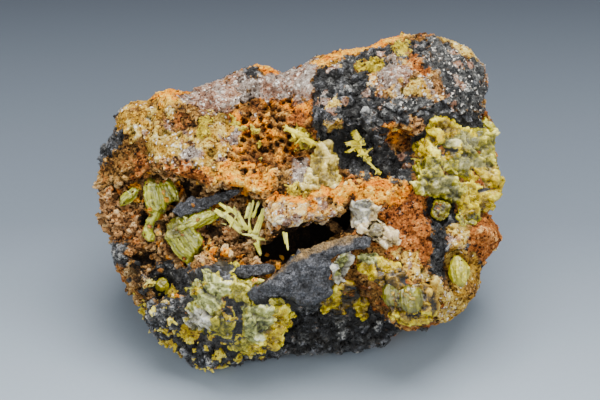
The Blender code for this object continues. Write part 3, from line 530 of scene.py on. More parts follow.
def build_grains(tree, given, result):
    """Angular grains: a random number for each, its seam, and a facet turned its own way."""
    place = node(tree, "ShaderNodeTexCoord", out="Object")
    bent = node(tree, "ShaderNodeTexNoise", out="Color", Vector=place, Scale=given["Size"], Detail=2.0)
    wander = node(tree, "ShaderNodeVectorMath", settings={"operation": "SCALE"}, _0=bent, Scale=0.0004)
    where = node(tree, "ShaderNodeVectorMath", settings={"operation": "ADD"}, _0=place, _1=wander)
    cell = tree.nodes.new("ShaderNodeTexVoronoi")
    join(tree, where, cell.inputs["Vector"])
    join(tree, given["Size"], cell.inputs["Scale"])
    rim = tree.nodes.new("ShaderNodeTexVoronoi")
    rim.feature = "DISTANCE_TO_EDGE"
    join(tree, where, rim.inputs["Vector"])
    join(tree, given["Size"], rim.inputs["Scale"])
    chance = node(tree, "ShaderNodeSeparateColor", out=0, _0=cell.outputs["Color"])
    other = node(tree, "ShaderNodeSeparateColor", out=1, _0=cell.outputs["Color"])
    tilt = node(tree, "ShaderNodeVectorMath", settings={"operation": "SUBTRACT"},
                _0=cell.outputs["Color"], _1=(0.5, 0.5, 0.5))
    tilt = node(tree, "ShaderNodeVectorMath", settings={"operation": "SCALE"}, _0=tilt, Scale=given["Tilt"])
    flat = node(tree, "ShaderNodeNewGeometry", out="Normal")
    facet = node(tree, "ShaderNodeVectorMath", settings={"operation": "ADD"}, _0=flat, _1=tilt)
    facet = node(tree, "ShaderNodeVectorMath", settings={"operation": "NORMALIZE"}, _0=facet)
    join(tree, chance, result["Chance"])
    join(tree, other, result["Other"])
    join(tree, math_node(tree, "MULTIPLY", rim.outputs["Distance"], 5.0, clamp=True), result["Seam"])
    join(tree, facet, result["Facet"])


GRAINS = group(
    "angular_grains",
    [("Size", "NodeSocketFloat", 1000.0), ("Tilt", "NodeSocketFloat", 0.8)],
    [("Chance", "NodeSocketFloat"), ("Other", "NodeSocketFloat"), ("Seam", "NodeSocketFloat"),
     ("Facet", "NodeSocketVector")],
    build_grains)

# Each mineral's colours, from its darkest grains to its lightest.
MINERAL_COLOURS = {
    "brown": [(16, 10, 4), (66, 42, 18), (122, 84, 38), (168, 124, 62), (212, 174, 104)],
    "ochre": [(70, 42, 8), (132, 90, 20), (182, 134, 36), (212, 168, 58), (238, 206, 114)],
    "orange": [(112, 48, 0), (196, 97, 0), (240, 142, 0), (252, 170, 18), (255, 210, 90)],
    "clay": [(22, 11, 4), (92, 57, 29), (158, 110, 64), (200, 150, 94), (236, 202, 152)],
    "gold": [(140, 76, 8), (216, 138, 20), (250, 180, 44), (255, 206, 84), (255, 236, 160)],
    "rust": [(38, 17, 6), (104, 52, 18), (164, 92, 36), (200, 126, 58), (238, 186, 116)],
    "quartz": [(70, 52, 42), (116, 98, 86), (148, 134, 122), (172, 160, 150), (226, 220, 212)],
    "sugar": [(60, 28, 16), (116, 74, 50), (156, 114, 88), (184, 152, 130), (250, 240, 230)],
    "cream": [(104, 66, 20), (168, 128, 50), (206, 174, 80), (228, 202, 114), (248, 240, 190)],
    "pink": [(110, 62, 24), (182, 122, 54), (216, 168, 86), (230, 196, 116), (248, 238, 196)],
    "oxide": [(3, 3, 3), (14, 14, 15), (29, 30, 31), (52, 54, 58), (124, 126, 132)],
    "ash": [(16, 16, 16), (42, 43, 43), (70, 71, 70), (104, 104, 102), (190, 190, 184)],
    "honey": [(16, 7, 2), (58, 30, 10), (108, 64, 24), (144, 94, 40), (200, 152, 82)],
    # 'dark' is painted shade for the shadowed hollows, near-black brown.
    "dark": [(3, 2, 1), (16, 11, 6), (38, 26, 13), (72, 50, 26), (140, 104, 62)],
    "hollow": [(8, 5, 2), (60, 40, 21), (134, 98, 56), (188, 148, 94), (232, 200, 144)],
    "yellow": [(92, 66, 2), (160, 130, 6), (200, 174, 18), (222, 204, 50), (244, 236, 138)],
}
PLACES_IN_RAMP = (0.05, 0.28, 0.5, 0.72, 0.98)
# The mineral that stains each mineral here and there.
STAINS = {
    "ochre": "brown", "orange": "gold", "gold": "orange", "quartz": "sugar", "sugar": "quartz",
    "cream": "ochre", "pink": "quartz", "ash": "oxide", "oxide": "ash", "honey": "orange", "hollow": "clay"}
# How wide a band each mineral takes to give way to the next, where it is not SOFT_EDGE.
CRISP_EDGES = {"oxide": 0.06, "dark": 0.06, "yellow": 0.06, "orange": 0.14, "gold": 0.14}
SOFT_EDGE = 0.24
HALF_COVERED = 0.46
# Minerals whose colour gets painted highlights: small near-white specks that stand in for glints.
PAINTED_GLINT_MINERALS = ("quartz", "sugar", "ash", "cream", "pink")
SHINY = ("oxide", "ash", "quartz", "sugar", "yellow")


def screen(red, green, blue):
    """A colour given as it looks on a screen, 0 to 255, as the linear values that materials take."""
    parts = np.array((red, green, blue)) / 255
    return tuple(np.where(parts <= 0.04045, parts / 12.92, ((parts + 0.055) / 1.055) ** 2.4))


def mineral_ramp(tree, factor, name):
    colours = [screen(*colour) for colour in MINERAL_COLOURS[name]]
    return ramp(tree, factor, list(zip(PLACES_IN_RAMP, colours)))


def gossan_material():
    made, tree, shader = new_material("gossan")
    fine = use(tree, GRAINS, Size=2400.0, Tilt=1.0)
    coarse = use(tree, GRAINS, Size=950.0, Tilt=0.5)
    place = node(tree, "ShaderNodeTexCoord", out="Object")
    cloud = node(tree, "ShaderNodeTexNoise", Vector=place, Scale=300.0, Detail=5.0)
    veil = node(tree, "ShaderNodeTexNoise", Vector=place, Scale=210.0, Detail=6.0, Distortion=0.6)
    dust = node(tree, "ShaderNodeTexNoise", Vector=place, Scale=3600.0, Detail=2.0)
    tone = weighted(tree, (fine["Chance"], 0.36), (coarse["Chance"], 0.22), (cloud, 0.85), (dust, 0.55),
                    (attribute(tree, "raised"), 0.26))
    pore = node(tree, "ShaderNodeMapRange", Value=fine["Chance"], From_Min=0.02, From_Max=0.14, To_Min=0.3,
                To_Max=0.0)
    tone = math_node(tree, "SUBTRACT", tone, math_node(tree, "ADD", pore, 0.54))
    ragged = math_node(tree, "MULTIPLY_ADD", coarse["Other"], 0.5, -0.46)
    ragged = math_node(tree, "MULTIPLY_ADD", fine["Other"], 0.46, ragged)
    stained = math_node(tree, "MULTIPLY_ADD", ragged, 0.3, veil)
    stained = node(tree, "ShaderNodeMapRange", Value=stained, From_Min=0.5, From_Max=0.64)
    ramps = {name: mineral_ramp(tree, tone, name) for name in MINERAL_COLOURS}
    colour = mix(tree, stained, ramps["brown"], ramps["rust"])
    rough, gloss = 0.85, 0.12
    glint = node(tree, "ShaderNodeMapRange", Value=fine["Other"], From_Min=0.93, From_Max=0.95)
    for name in MINERALS:
        weight = attribute(tree, name)
        near = node(tree, "ShaderNodeMapRange", Value=weight, From_Max=0.2, To_Min=0.55)
        weight = math_node(tree, "MULTIPLY_ADD", ragged, near, weight)
        band = CRISP_EDGES.get(name, SOFT_EDGE)
        cover = node(tree, "ShaderNodeMapRange", Value=weight, From_Min=HALF_COVERED - band,
                     From_Max=HALF_COVERED + band)
        look = mix(tree, stained, ramps[name], ramps[STAINS[name]]) if name in STAINS else ramps[name]
        colour = mix(tree, cover, colour, look)
        # Painted highlight: near-white specks mixed into the colour as glints.
        if name in PAINTED_GLINT_MINERALS:
            colour = mix(tree, math_node(tree, "MULTIPLY", cover, glint), colour, screen(240, 236, 228))
        if name in SHINY:
            shine = node(tree, "ShaderNodeMapRange", Value=fine["Other"], From_Min=0.6, From_Max=0.95,
                         To_Min=0.6, To_Max=0.16)
            rough = node(tree, "ShaderNodeMix", _0=cover, _2=rough, _3=shine)
            gloss = node(tree, "ShaderNodeMix", _0=cover, _2=gloss, _3=0.5)
    # Painted shade: pits, crevices and hollows are mixed towards near-black.
    colour = mix(tree, attribute(tree, "pit"), colour, screen(10, 6, 3))
    join(tree, colour, shader.inputs["Base Color"])
    join(tree, rough, shader.inputs["Roughness"])
    join(tree, gloss, shader.inputs["Specular IOR Level"])
    relief = math_node(tree, "MULTIPLY_ADD", fine["Seam"], 0.6, math_node(tree, "MULTIPLY", cloud, 2.0))
    relief = math_node(tree, "ADD", relief, dust)
    bump = node(tree, "ShaderNodeBump", Strength=0.7, Distance=0.0004, Height=relief, Normal=fine["Facet"])
    join(tree, bump, shader.inputs["Normal"])
    return made


def laid(points, zones, names, soft):
    """How much of each named mineral there is at each point, from zones that lie over each other."""
    places = to_face(points)
    across, up = places[:, 0], places[:, 1]
    wander, wander_up = fractal(points, 3.4, 5, 11.0), fractal(points, 3.4, 5, 57.0)
    ragged = cells(points, 1.4, 77.0)[2] + 0.6 * cells(points, 0.8, 78.0)[2]
    weights = {name: np.zeros(len(points)) for name in names}
    for name, width, outline in zones:
        inside = edge_distance(across + 1.7 * width * wander, up + 1.7 * width * wander_up, outline)
        cover = ease(inside + 0.45 * width * ragged, -soft, soft)
        for other in weights:
            weights[other] *= 1 - cover
        if name in weights:
            weights[name] += cover
    return weights


def mineral_weights(points, normals):
    """The minerals of the display face in front, and patches of the commonest of them on the back."""
    weights = laid(points, ZONES, MINERALS, 0.7)
    places = to_face(points)
    seen = ease(places[:, 2] - BODY_LEAN * places[:, 1] + 6.0 * fractal(points, 6.0, 4, 33.0), -5.0, -3.0)
    seen = seen * ease(normals @ TOWARDS + 0.4 * fractal(points, 5.0, 3, 44.0), -0.5, -0.25)
    speck = cells(points, 1.7, 15.0)[2] + 0.5 * fractal(points, 5.0, 3, 16.0)
    foot = ease(-places[:, 0] - 0.4 * places[:, 1], 16.0, 24.0) * ease(-places[:, 1], 14.0, 18.0)
    upper = ease(places[:, 1], 2.0, 8.0)
    for host, guest, least in (("oxide", "cream", 0.91), ("ash", "cream", 0.88), ("quartz", "cream", 0.9),
                               ("cream", "sugar", 0.78), ("cream", "clay", 0.66), ("hollow", "orange", 0.72),
                               ("honey", "yellow", 1.05), ("ochre", "cream", 0.6), ("pink", "sugar", 0.4)):
        taken = weights[host] * ease(speck, least, least + 0.08)
        if host in ("oxide", "ash"):
            taken = taken * upper
        weights[host] = weights[host] - taken
        weights[guest] = weights[guest] + taken
    taken = weights["oxide"] * foot * ease(speck, 0.6, 0.7)
    weights["oxide"] = weights["oxide"] - taken
    weights["yellow"] = weights["yellow"] + taken
    behind = {
        "ochre": ease(fractal(points, 9.0, 4, 3.0), 0.05, 0.2),
        "rust": ease(fractal(points, 8.0, 4, 23.0), 0.12, 0.26),
        "oxide": ease(fractal(points, 13.0, 4, 41.0), 0.1, 0.22),
        "quartz": ease(fractal(points, 7.0, 4, 71.0), 0.3, 0.42),
        "cream": ease(fractal(points, 6.0, 4, 91.0), 0.26, 0.4)}
    for name in weights:
        weights[name] = weights[name] * seen + behind.get(name, 0.0) * (1 - seen)
    return weights


def rock_relief(points, weights, covered):
    """Height to add at each point, in millimetres, and how much painted shade it gets where it lies in a pit,
    a crevice or a shadowed hollow.
    """
    bent = points + 0.5 * np.stack([fractal(points, 2.0, 2, shift) for shift in (5, 6, 7)], 1)
    edge, centre, chance = cells(bent, 2.5)
    small_edge, small_centre, small_chance = cells(points, 1.25, 9.0)
    crevice = 1 - ease(edge, 0.02, 0.16)
    small_crevice = 1 - ease(small_edge, 0.02, 0.2)
    dome = np.clip(1 - centre**2 * 1.6, 0, 1)
    small_dome = np.clip(1 - small_centre**2 * 1.6, 0, 1)
    plain = 0.35 * chance - 0.35 * crevice + 0.18 * small_chance
    pores = (chance < -0.35) * ease(edge, 0.06, 0.3)
    kinds = {
        "ochre": 0.14 * chance - 0.1 * crevice + 0.1 * small_chance,
        "orange": 0.2 * small_dome + 0.22 * chance + 0.14 * small_chance - 0.1,
        "gold": 0.2 * chance + 0.12 * small_chance,
        "clay": 0.5 * chance - 0.4 * crevice + 0.3 * small_chance - 0.2 * small_crevice,
        "rust": 0.34 * small_dome + 0.22 * chance + 0.2 * small_chance - 0.3,
        "quartz": 0.25 * facets(points, 1.6, 3.0) + 0.1 * small_chance,
        "sugar": 0.25 * facets(points, 1.6, 3.0) + 0.1 * small_chance,
        "cream": 0.16 * chance + 0.12 * small_chance - 0.6 * pores,
        "pink": 0.2 * chance + 0.2 * small_chance,
        "oxide": 0.45 * dome + 0.3 * small_dome + 0.55 * chance + 0.26 * small_chance - 0.4 * crevice - 0.4,
        "ash": 0.3 * small_dome + 0.25 * chance + 0.2 * small_chance - 0.2,
        "yellow": 0.3 * small_dome + 0.3 * small_chance + 0.2,
        "honey": (0.25 * small_chance + 0.15 * chance
                  - 0.9 * ease(small_edge, 0.12, 0.34) * (small_chance < 0.0)),
        "dark": 0.3 * chance - 1.0,
        "hollow": 1.4 * chance - 0.8 * crevice + 0.36 * small_chance - 0.3 * small_crevice - 0.2}
    rest = np.clip(1 - sum(weights.values()), 0, 1)
    height = 0.45 * fractal(points, 4.6, 5, 31.0) + rest * plain
    # Painted shade: crevices, pores, honeycomb pits, hollows and the dark zones are darkened in the colour.
    pit = 0.35 * crevice * rest
    for name, kind in kinds.items():
        height += weights[name] * kind
    pit += weights["hollow"] * (0.75 * crevice + 0.4 * (chance < -0.5))
    pit += weights["honey"] * 0.7 * ease(small_edge, 0.14, 0.34) * (small_chance < 0.0)
    # Painted shade: the dark zones are darkened further.
    pit += 0.35 * weights["dark"]
    pit += weights["cream"] * 0.5 * pores
    pit += (weights["rust"] + weights["orange"] + 1.4 * weights["clay"]) * 0.45 * small_crevice
    pit += weights["oxide"] * (0.6 * crevice + 0.5 * (chance < -0.6))
    return np.where(covered > 0, height * (1 - covered) - 0.3 * covered, height), np.clip(pit, 0, 1)


def nearness(points, names, near, far):
    """1 for points nearer than `near` millimetres to these CAD nodes, 0 past `far`."""
    shape = cad_copy(names)
    tree = BVHTree.FromBMesh(shape)
    shape.free()
    gap = np.array([tree.find_nearest(Vector(p) * MM)[3] for p in points]) / MM
    return 1 - ease(gap, near, far)


def hollowness(mesh, points, normals, rounds):
    """How far each point lies under the mean of its surroundings, which each round of averaging widens."""
    ends = np.empty(len(mesh.edges) * 2, int)
    mesh.edges.foreach_get("vertices", ends)
    ends = ends.reshape(-1, 2)
    count = np.bincount(ends.ravel(), minlength=len(points))[:, None]
    mean = points.copy()
    for _ in range(rounds):
        total = np.zeros_like(mean)
        for axis in range(3):
            total[:, axis] = (
                np.bincount(ends[:, 0], weights=mean[ends[:, 1], axis], minlength=len(mean))
                + np.bincount(ends[:, 1], weights=mean[ends[:, 0], axis], minlength=len(mean)))
        mean = total / np.maximum(count, 1)
    return ((mean - points) * normals).sum(axis=1)


rock_body = cad_copy(["gossan_matrix"] + GROWN_OVER, ROCK_UNDER_CRUSTS)
rock = refined_front(remeshed(object_from("gossan_rock", rock_body), ROCK_VOXEL), FRONT_FACES)
points, normals = read_points(rock.data)
weights = mineral_weights(points, normals)
height, pit = rock_relief(points, weights, nearness(points, GROWN_OVER, 0.6, 1.3))
clear = [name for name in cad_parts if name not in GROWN_OVER + ["gossan_matrix"]]
height -= ROOM_AROUND_CRYSTALS * nearness(points, clear, 0.5, 2.0)
points = points + normals * (height * above_sheet(points))[:, None]
write_points(rock.data, points)
points, normals = read_points(rock.data)
sunk, sunk_wide = (hollowness(rock.data, points, normals, rounds) for rounds in ROCK_ROUNDS)
for name in MINERALS:
    store(rock.data, name, weights[name])
# Painted shade: points that lie in pits and hollows, found by averaging, are darkened in the colour.
shaded = 0.7 * pit + 0.8 * ease(sunk, 0.05, 0.5) + 0.75 * ease(sunk_wide, 0.2, 1.8)
store(rock.data, "pit", np.clip(shaded, 0, 0.93))
# Raised ridges and knobs get a lighter tone in the colour: part wear, part painted highlight.
store(rock.data, "raised", ease(-sunk, 0.0, 0.4) + ease(-sunk_wide, 0.1, 1.2) * 0.6)
gossan_look = gossan_material()
coat(rock, gossan_look)
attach(rock, "root")
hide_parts("gossan_matrix")


# ---- The crusts ----
# Pyromorphite grown over the rock as skins 2 mm thick: knobbly, waxy and see-through at their thin edges,
# yellow-green with greyish patches, black oxide and brown rock between their lobes.

CRUSTS = ["right_crust", "lower_left_crust", "lower_right_crust", "pale_crust", "pale_blade", "yellow_blades",
          "plate_patch"]
CRUST_VOXEL = 0.3
CRUST_SMOOTHING = 4
CRUST_ROUNDS = (5, 50)
CRUST_MINERALS = ("yellow", "grey", "sage", "white", "tan", "brown", "oxide")
CRUST_ZONES = [
    ("yellow", 0.8, [
        (22.8, 11.8), (23.6, 14.0), (26.2, 16.0), (30.0, 16.6), (32.8, 15.2), (35.6, 13.2), (33.6, 11.6),
        (30.0, 11.2), (26.0, 10.8)]),
    ("sage", 0.7, [
        (28.8, 12.4), (30.4, 13.4), (32.8, 13.2), (35.2, 12.0), (34.8, 10.0), (32.4, 9.6), (29.6, 10.4)]),
    ("yellow", 0.6, [
        (22.8, 9.6), (24.0, 10.8), (28.0, 10.6), (33.2, 10.6), (33.6, 9.6), (30.4, 8.4), (26.0, 8.4),
        (23.6, 7.6)]),
    ("oxide", 0.4, [(26.8, 10.2), (29.2, 10.8), (32.0, 10.2), (31.6, 9.4), (28.4, 9.4)]),
    ("sage", 0.8, [(30.4, 8.0), (33.2, 8.6), (38.0, 8.0), (38.0, 6.0), (34.8, 5.6), (31.6, 6.0)]),
    ("sage", 1.2, [
        (23.6, 4.0), (26.4, 4.8), (29.6, 4.4), (32.4, 2.8), (32.8, 0.0), (31.2, -2.0), (28.0, 0.8),
        (24.8, 1.6)]),
    ("yellow", 0.8, [
        (34.0, 5.6), (36.4, 6.8), (39.6, 6.4), (41.0, 2.8), (40.2, 0.0), (38.0, -2.4), (34.8, -3.2),
        (32.4, -2.0), (32.8, 0.8), (33.6, 3.2)]),
    ("oxide", 0.2, [(34.4, 6.0), (36.0, 4.8), (37.2, 2.4), (37.8, 2.6), (36.6, 5.0), (35.0, 6.4)]),
    ("oxide", 0.2, [(35.6, 2.0), (37.2, 2.6), (38.8, 2.2), (38.8, 1.8), (37.2, 2.0), (35.8, 1.4)]),
    ("oxide", 0.8, [
        (-23.0, -18.8), (-22.6, -14.0), (-19.6, -11.2), (-15.6, -11.6), (-13.4, -13.6), (-14.4, -15.4),
        (-17.6, -14.4), (-19.6, -15.8), (-20.8, -18.4)]),
    ("grey", 0.9, [
        (-22.6, -19.0), (-20.4, -15.4), (-18.0, -14.4), (-15.4, -15.4), (-14.0, -18.0), (-16.0, -20.0),
        (-17.0, -24.0), (-20.8, -22.4)]),
    ("yellow", 0.5, [(-21.6, -18.4), (-20.4, -16.4), (-19.0, -16.4), (-19.6, -18.6), (-20.8, -19.4)]),
    ("brown", 0.4, [
        (-15.8, -19.8), (-14.2, -19.6), (-13.2, -20.8), (-13.4, -25.2), (-14.8, -24.8), (-15.6, -22.4)]),
    ("oxide", 0.4, [
        (-13.4, -20.8), (-11.4, -21.2), (-11.4, -24.8), (-12.0, -29.2), (-14.0, -29.2), (-13.2, -24.8)]),
    ("oxide", 0.6, [(-10.0, -19.2), (-6.4, -18.4), (-5.6, -20.8), (-8.8, -21.4)]),
    ("grey", 0.5, [
        (-11.4, -21.6), (-7.6, -21.0), (-4.8, -21.6), (-5.6, -25.2), (-8.4, -28.0), (-11.2, -28.0)]),
    ("yellow", 0.6, [
        (-6.0, -25.2), (-4.8, -21.6), (-2.0, -20.4), (0.8, -20.8), (0.0, -24.8), (-1.6, -28.8),
        (-4.8, -32.4), (-9.2, -32.4), (-10.4, -30.0), (-8.4, -28.4)]),
    ("white", 0.7, [
        (-24.0, -22.4), (-20.8, -21.6), (-17.6, -23.6), (-17.2, -26.8), (-20.4, -26.4), (-23.2, -25.2)]),
    ("oxide", 0.7, [
        (-22.8, -26.0), (-20.0, -26.8), (-16.8, -27.6), (-14.0, -28.8), (-15.6, -30.4), (-19.2, -29.6),
        (-22.4, -28.0)]),
    ("grey", 0.8, [(11.6, -10.8), (14.8, -9.6), (17.0, -10.6), (16.4, -13.2), (13.0, -13.4)]),
    ("yellow", 0.8, [(15.4, -11.4), (19.6, -11.4), (20.0, -13.8), (16.6, -14.6)]),
    ("tan", 0.8, [
        (19.2, -11.6), (22.4, -12.4), (26.4, -14.4), (31.0, -17.2), (31.0, -22.4), (27.6, -22.4),
        (26.0, -18.4), (21.8, -15.0)]),
    ("oxide", 0.3, [(20.0, -15.4), (22.8, -14.8), (24.4, -16.2), (21.6, -17.4)]),
    ("yellow", 0.6, [
        (18.0, -22.4), (22.0, -23.2), (25.6, -22.4), (29.6, -21.2), (29.6, -25.6), (24.0, -27.2),
        (18.8, -25.6)]),
    ("yellow", 0.6, [(10.8, -12.4), (13.6, -12.8), (15.6, -14.0), (14.4, -16.4), (12.0, -16.4)]),
    ("yellow", 0.5, [(3.0, -20.0), (5.2, -17.4), (8.4, -17.4), (8.0, -20.4), (5.0, -22.6)]),
    ("yellow", 0.5, [(10.4, -20.4), (12.4, -20.0), (14.2, -23.0), (13.0, -25.0), (10.8, -23.4)]),
    ("oxide", 0.4, [(9.6, -17.4), (12.2, -17.2), (12.4, -19.4), (9.8, -19.2)]),
    ("white", 0.8, [(10.0, 1.2), (13.6, 1.2), (14.0, -2.6), (12.6, -4.6), (10.6, -4.8), (9.6, -1.0)]),
    ("grey", 0.5, [
        (6.8, -11.6), (8.6, -10.4), (9.8, -11.6), (9.2, -13.8), (8.0, -15.6), (6.9, -14.8)]),
]
MINERAL_COLOURS.update({
    "honeyed": [(16, 9, 0), (46, 33, 0), (82, 60, 0), (120, 92, 0), (200, 170, 34)],
    "olive": [(30, 28, 0), (82, 78, 2), (134, 126, 16), (176, 166, 40), (232, 224, 130)],
    "sage": [(40, 40, 16), (88, 86, 42), (128, 124, 68), (160, 154, 94), (216, 210, 160)],
    "straw": [(66, 52, 10), (124, 104, 32), (166, 146, 58), (196, 176, 94), (238, 228, 176)],
    "yellow": [(54, 38, 0), (118, 94, 0), (172, 146, 0), (206, 184, 6), (244, 232, 92)],
    "grey": [(38, 40, 18), (94, 98, 48), (144, 148, 80), (184, 188, 118), (240, 242, 208)],
    "white": [(62, 60, 50), (128, 125, 108), (176, 173, 154), (212, 210, 192), (248, 248, 240)],
    "tan": [(34, 21, 0), (74, 52, 2), (114, 84, 6), (152, 118, 16), (208, 180, 84)],
    "pale": [(66, 52, 28), (150, 130, 90), (206, 184, 138), (232, 212, 168), (250, 245, 224)],
})


def crust_material(name, body, minerals):
    """Waxy, slightly see-through crystal skin, with other minerals over it where their attributes are 1."""
    made, tree, shader = new_material(name)
    fine = use(tree, GRAINS, Size=1900.0, Tilt=0.45)
    coarse = use(tree, GRAINS, Size=620.0, Tilt=0.22)
    place = node(tree, "ShaderNodeTexCoord", out="Object")
    cloud = node(tree, "ShaderNodeTexNoise", Vector=place, Scale=260.0, Detail=5.0)
    frost = node(tree, "ShaderNodeTexNoise", Vector=place, Scale=2600.0, Detail=2.0)
    tone = weighted(tree, (fine["Chance"], 0.18), (coarse["Chance"], 0.24), (cloud, 1.3), (frost, 0.25),
                    (attribute(tree, "raised"), 0.25))
    tone = math_node(tree, "SUBTRACT", tone, 0.63)
    colour = mineral_ramp(tree, tone, body)
    rough, inner = 0.14, 0.5
    for mineral in minerals:
        clouded = math_node(tree, "MULTIPLY_ADD", cloud, 1.2, -0.6)
        weight = math_node(tree, "ADD", attribute(tree, mineral), clouded)
        band = 0.04 if mineral in ("oxide", "brown") else 0.22
        cover = node(tree, "ShaderNodeMapRange", Value=weight, From_Min=0.5 - band, From_Max=0.5 + band)
        colour = mix(tree, cover, colour, mineral_ramp(tree, tone, mineral))
        if mineral in ("oxide", "brown", "tan"):
            rough = node(tree, "ShaderNodeMix", _0=cover, _2=rough, _3=0.6)
            inner = node(tree, "ShaderNodeMix", _0=cover, _2=inner, _3=0.0)
    # Painted shade: pits and hollows are mixed towards dark olive-brown.
    colour = mix(tree, attribute(tree, "pit"), colour, screen(44, 34, 6))
    join(tree, colour, shader.inputs["Base Color"])
    join(tree, rough, shader.inputs["Roughness"])
    join(tree, inner, shader.inputs["Subsurface Weight"])
    shader.inputs["Subsurface Radius"].default_value = (1.0, 0.9, 0.25)
    shader.inputs["Subsurface Scale"].default_value = 1.0 * MM
    shader.inputs["IOR"].default_value = 1.5
    relief = math_node(tree, "MULTIPLY_ADD", fine["Seam"], 0.15, cloud)
    relief = math_node(tree, "MULTIPLY_ADD", frost, 0.4, relief)
    bump = node(tree, "ShaderNodeBump", Strength=0.5, Distance=0.0003, Height=relief, Normal=fine["Facet"])
    join(tree, bump, shader.inputs["Normal"])
    return made


crust_look = crust_material("pyromorphite_crust", "olive", CRUST_MINERALS)
pale_look = crust_material("pale_pyromorphite", "pale", ("yellow", "grey", "white", "tan"))
straw_look = crust_material("straw_pyromorphite", "straw", ("yellow", "grey"))
grey_look = crust_material("grey_pyromorphite", "white", ("yellow", "grey", "oxide"))
deep_look = crust_material("honey_pyromorphite", "honeyed", CRUST_MINERALS)
CRUST_LOOKS = {"pale_crust": pale_look, "plate_patch": grey_look, "pale_blade": straw_look,
               "lower_right_crust": deep_look, "yellow_blades": deep_look}
crusts = []
for name in CRUSTS:
    crust = remeshed(object_from(name + "_growth", cad_copy([name])), CRUST_VOXEL, CRUST_SMOOTHING)
    points, normals = read_points(crust.data)
    weights = laid(points, CRUST_ZONES, CRUST_MINERALS, 0.6)
    chance, small_chance = cells(points, 2.5, 13.0)[2], cells(points, 1.1, 29.0)[2]
    lump = 0.3 * facets(points, 3.4, 13.0) + 0.24 * facets(points, 1.6, 29.0) + 0.12 * chance
    lump += 0.4 * fractal(points, 4.5, 4, 61.0) + 0.12 * small_chance
    lump -= 0.9 * weights["oxide"] + 1.1 * weights["brown"] - 0.1 * weights["yellow"]
    write_points(crust.data, points + normals * (lump * above_sheet(points))[:, None])
    for mineral in CRUST_MINERALS:
        store(crust.data, mineral, weights[mineral])
    points, normals = read_points(crust.data)
    sunk, sunk_wide = (hollowness(crust.data, points, normals, rounds) for rounds in CRUST_ROUNDS)
    # Painted shade: pits and hollows between the lobes are darkened in the colour.
    store(crust.data, "pit", np.clip(0.7 * ease(sunk, 0.04, 0.3) + 0.7 * ease(sunk_wide, 0.1, 1.0), 0, 0.9))
    # Raised lobes get a lighter tone in the colour: part wear, part painted highlight.
    store(crust.data, "raised", ease(-sunk, 0.0, 0.25) + 0.6 * ease(-sunk_wide, 0.0, 0.8))
    coat(crust, CRUST_LOOKS.get(name, crust_look))
    crust.data.shade_smooth()
    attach(crust, "root")
    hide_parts(name)
    crusts.append(crust)


# ---- Crumbs and small crystals ----
# Grains that cling all over the rock, each of the mineral that it lies on, broken flakes of pyromorphite
# over its crusts, and tufts of its short spiky crystals where a yellow patch is dusted over the rock.


def stored(mesh, name):
    values = np.empty(len(mesh.vertices), np.float32)
    mesh.attributes[name].data.foreach_get("value", values)
    return values


def scatter_tree(name, upright):
    """Copies of a grain over a surface, as thick as the surface's `crumbs` attribute says."""
    tree = bpy.data.node_groups.new(name, "GeometryNodeTree")
    for label, kind in (("Geometry", "NodeSocketGeometry"), ("Grain", "NodeSocketObject"),
                        ("Look", "NodeSocketMaterial"), ("Density", "NodeSocketFloat"),
                        ("Smallest", "NodeSocketFloat"), ("Largest", "NodeSocketFloat"),
                        ("Seed", "NodeSocketInt")):
        tree.interface.new_socket(name=label, in_out="INPUT", socket_type=kind)
    tree.interface.new_socket(name="Geometry", in_out="OUTPUT", socket_type="NodeSocketGeometry")
    given = tree.nodes.new("NodeGroupInput").outputs
    crumbs = tree.nodes.new("GeometryNodeInputNamedAttribute")
    crumbs.inputs["Name"].default_value = "crumbs"
    scatter = tree.nodes.new("GeometryNodeDistributePointsOnFaces")
    join(tree, given["Geometry"], scatter.inputs["Mesh"])
    density = math_node(tree, "MULTIPLY", crumbs.outputs["Attribute"], given["Density"])
    join(tree, density, scatter.inputs["Density"])
    join(tree, given["Seed"], scatter.inputs["Seed"])
    turn = tree.nodes.new("FunctionNodeRandomValue")
    turn.data_type = "FLOAT_VECTOR"
    spread = 0.7 if upright else math.pi
    turn.inputs[0].default_value = (-spread, -spread, -math.pi)
    turn.inputs[1].default_value = (spread, spread, math.pi)
    size = tree.nodes.new("FunctionNodeRandomValue")
    join(tree, given["Smallest"], size.inputs[2])
    join(tree, given["Largest"], size.inputs[3])
    join(tree, given["Seed"], size.inputs["Seed"])
    stretch = tree.nodes.new("FunctionNodeRandomValue")
    stretch.data_type = "FLOAT_VECTOR"
    stretch.inputs[0].default_value = (0.6, 0.6, 0.5)
    stretch.inputs[1].default_value = (1.1, 1.1, 1.2)
    scale = node(tree, "ShaderNodeVectorMath", settings={"operation": "SCALE"}, _0=stretch.outputs[0],
                 Scale=size.outputs[1])
    model = tree.nodes.new("GeometryNodeObjectInfo")
    join(tree, given["Grain"], model.inputs["Object"])
    turned = tree.nodes.new("FunctionNodeRotateRotation")
    turned.rotation_space = "LOCAL"
    join(tree, scatter.outputs["Rotation"], turned.inputs["Rotation"])
    join(tree, turn.outputs[0], turned.inputs["Rotate By"])
    placed = tree.nodes.new("GeometryNodeInstanceOnPoints")
    join(tree, scatter.outputs["Points"], placed.inputs["Points"])
    join(tree, model.outputs["Geometry"], placed.inputs["Instance"])
    join(tree, turned.outputs["Rotation"], placed.inputs["Rotation"])
    join(tree, scale, placed.inputs["Scale"])
    real = tree.nodes.new("GeometryNodeRealizeInstances")
    join(tree, placed.outputs["Instances"], real.inputs["Geometry"])
    painted = tree.nodes.new("GeometryNodeSetMaterial")
    join(tree, real.outputs["Geometry"], painted.inputs["Geometry"])
    join(tree, given["Look"], painted.inputs["Material"])
    join(tree, painted.outputs["Geometry"], tree.nodes.new("NodeGroupOutput").inputs["Geometry"])
    return tree


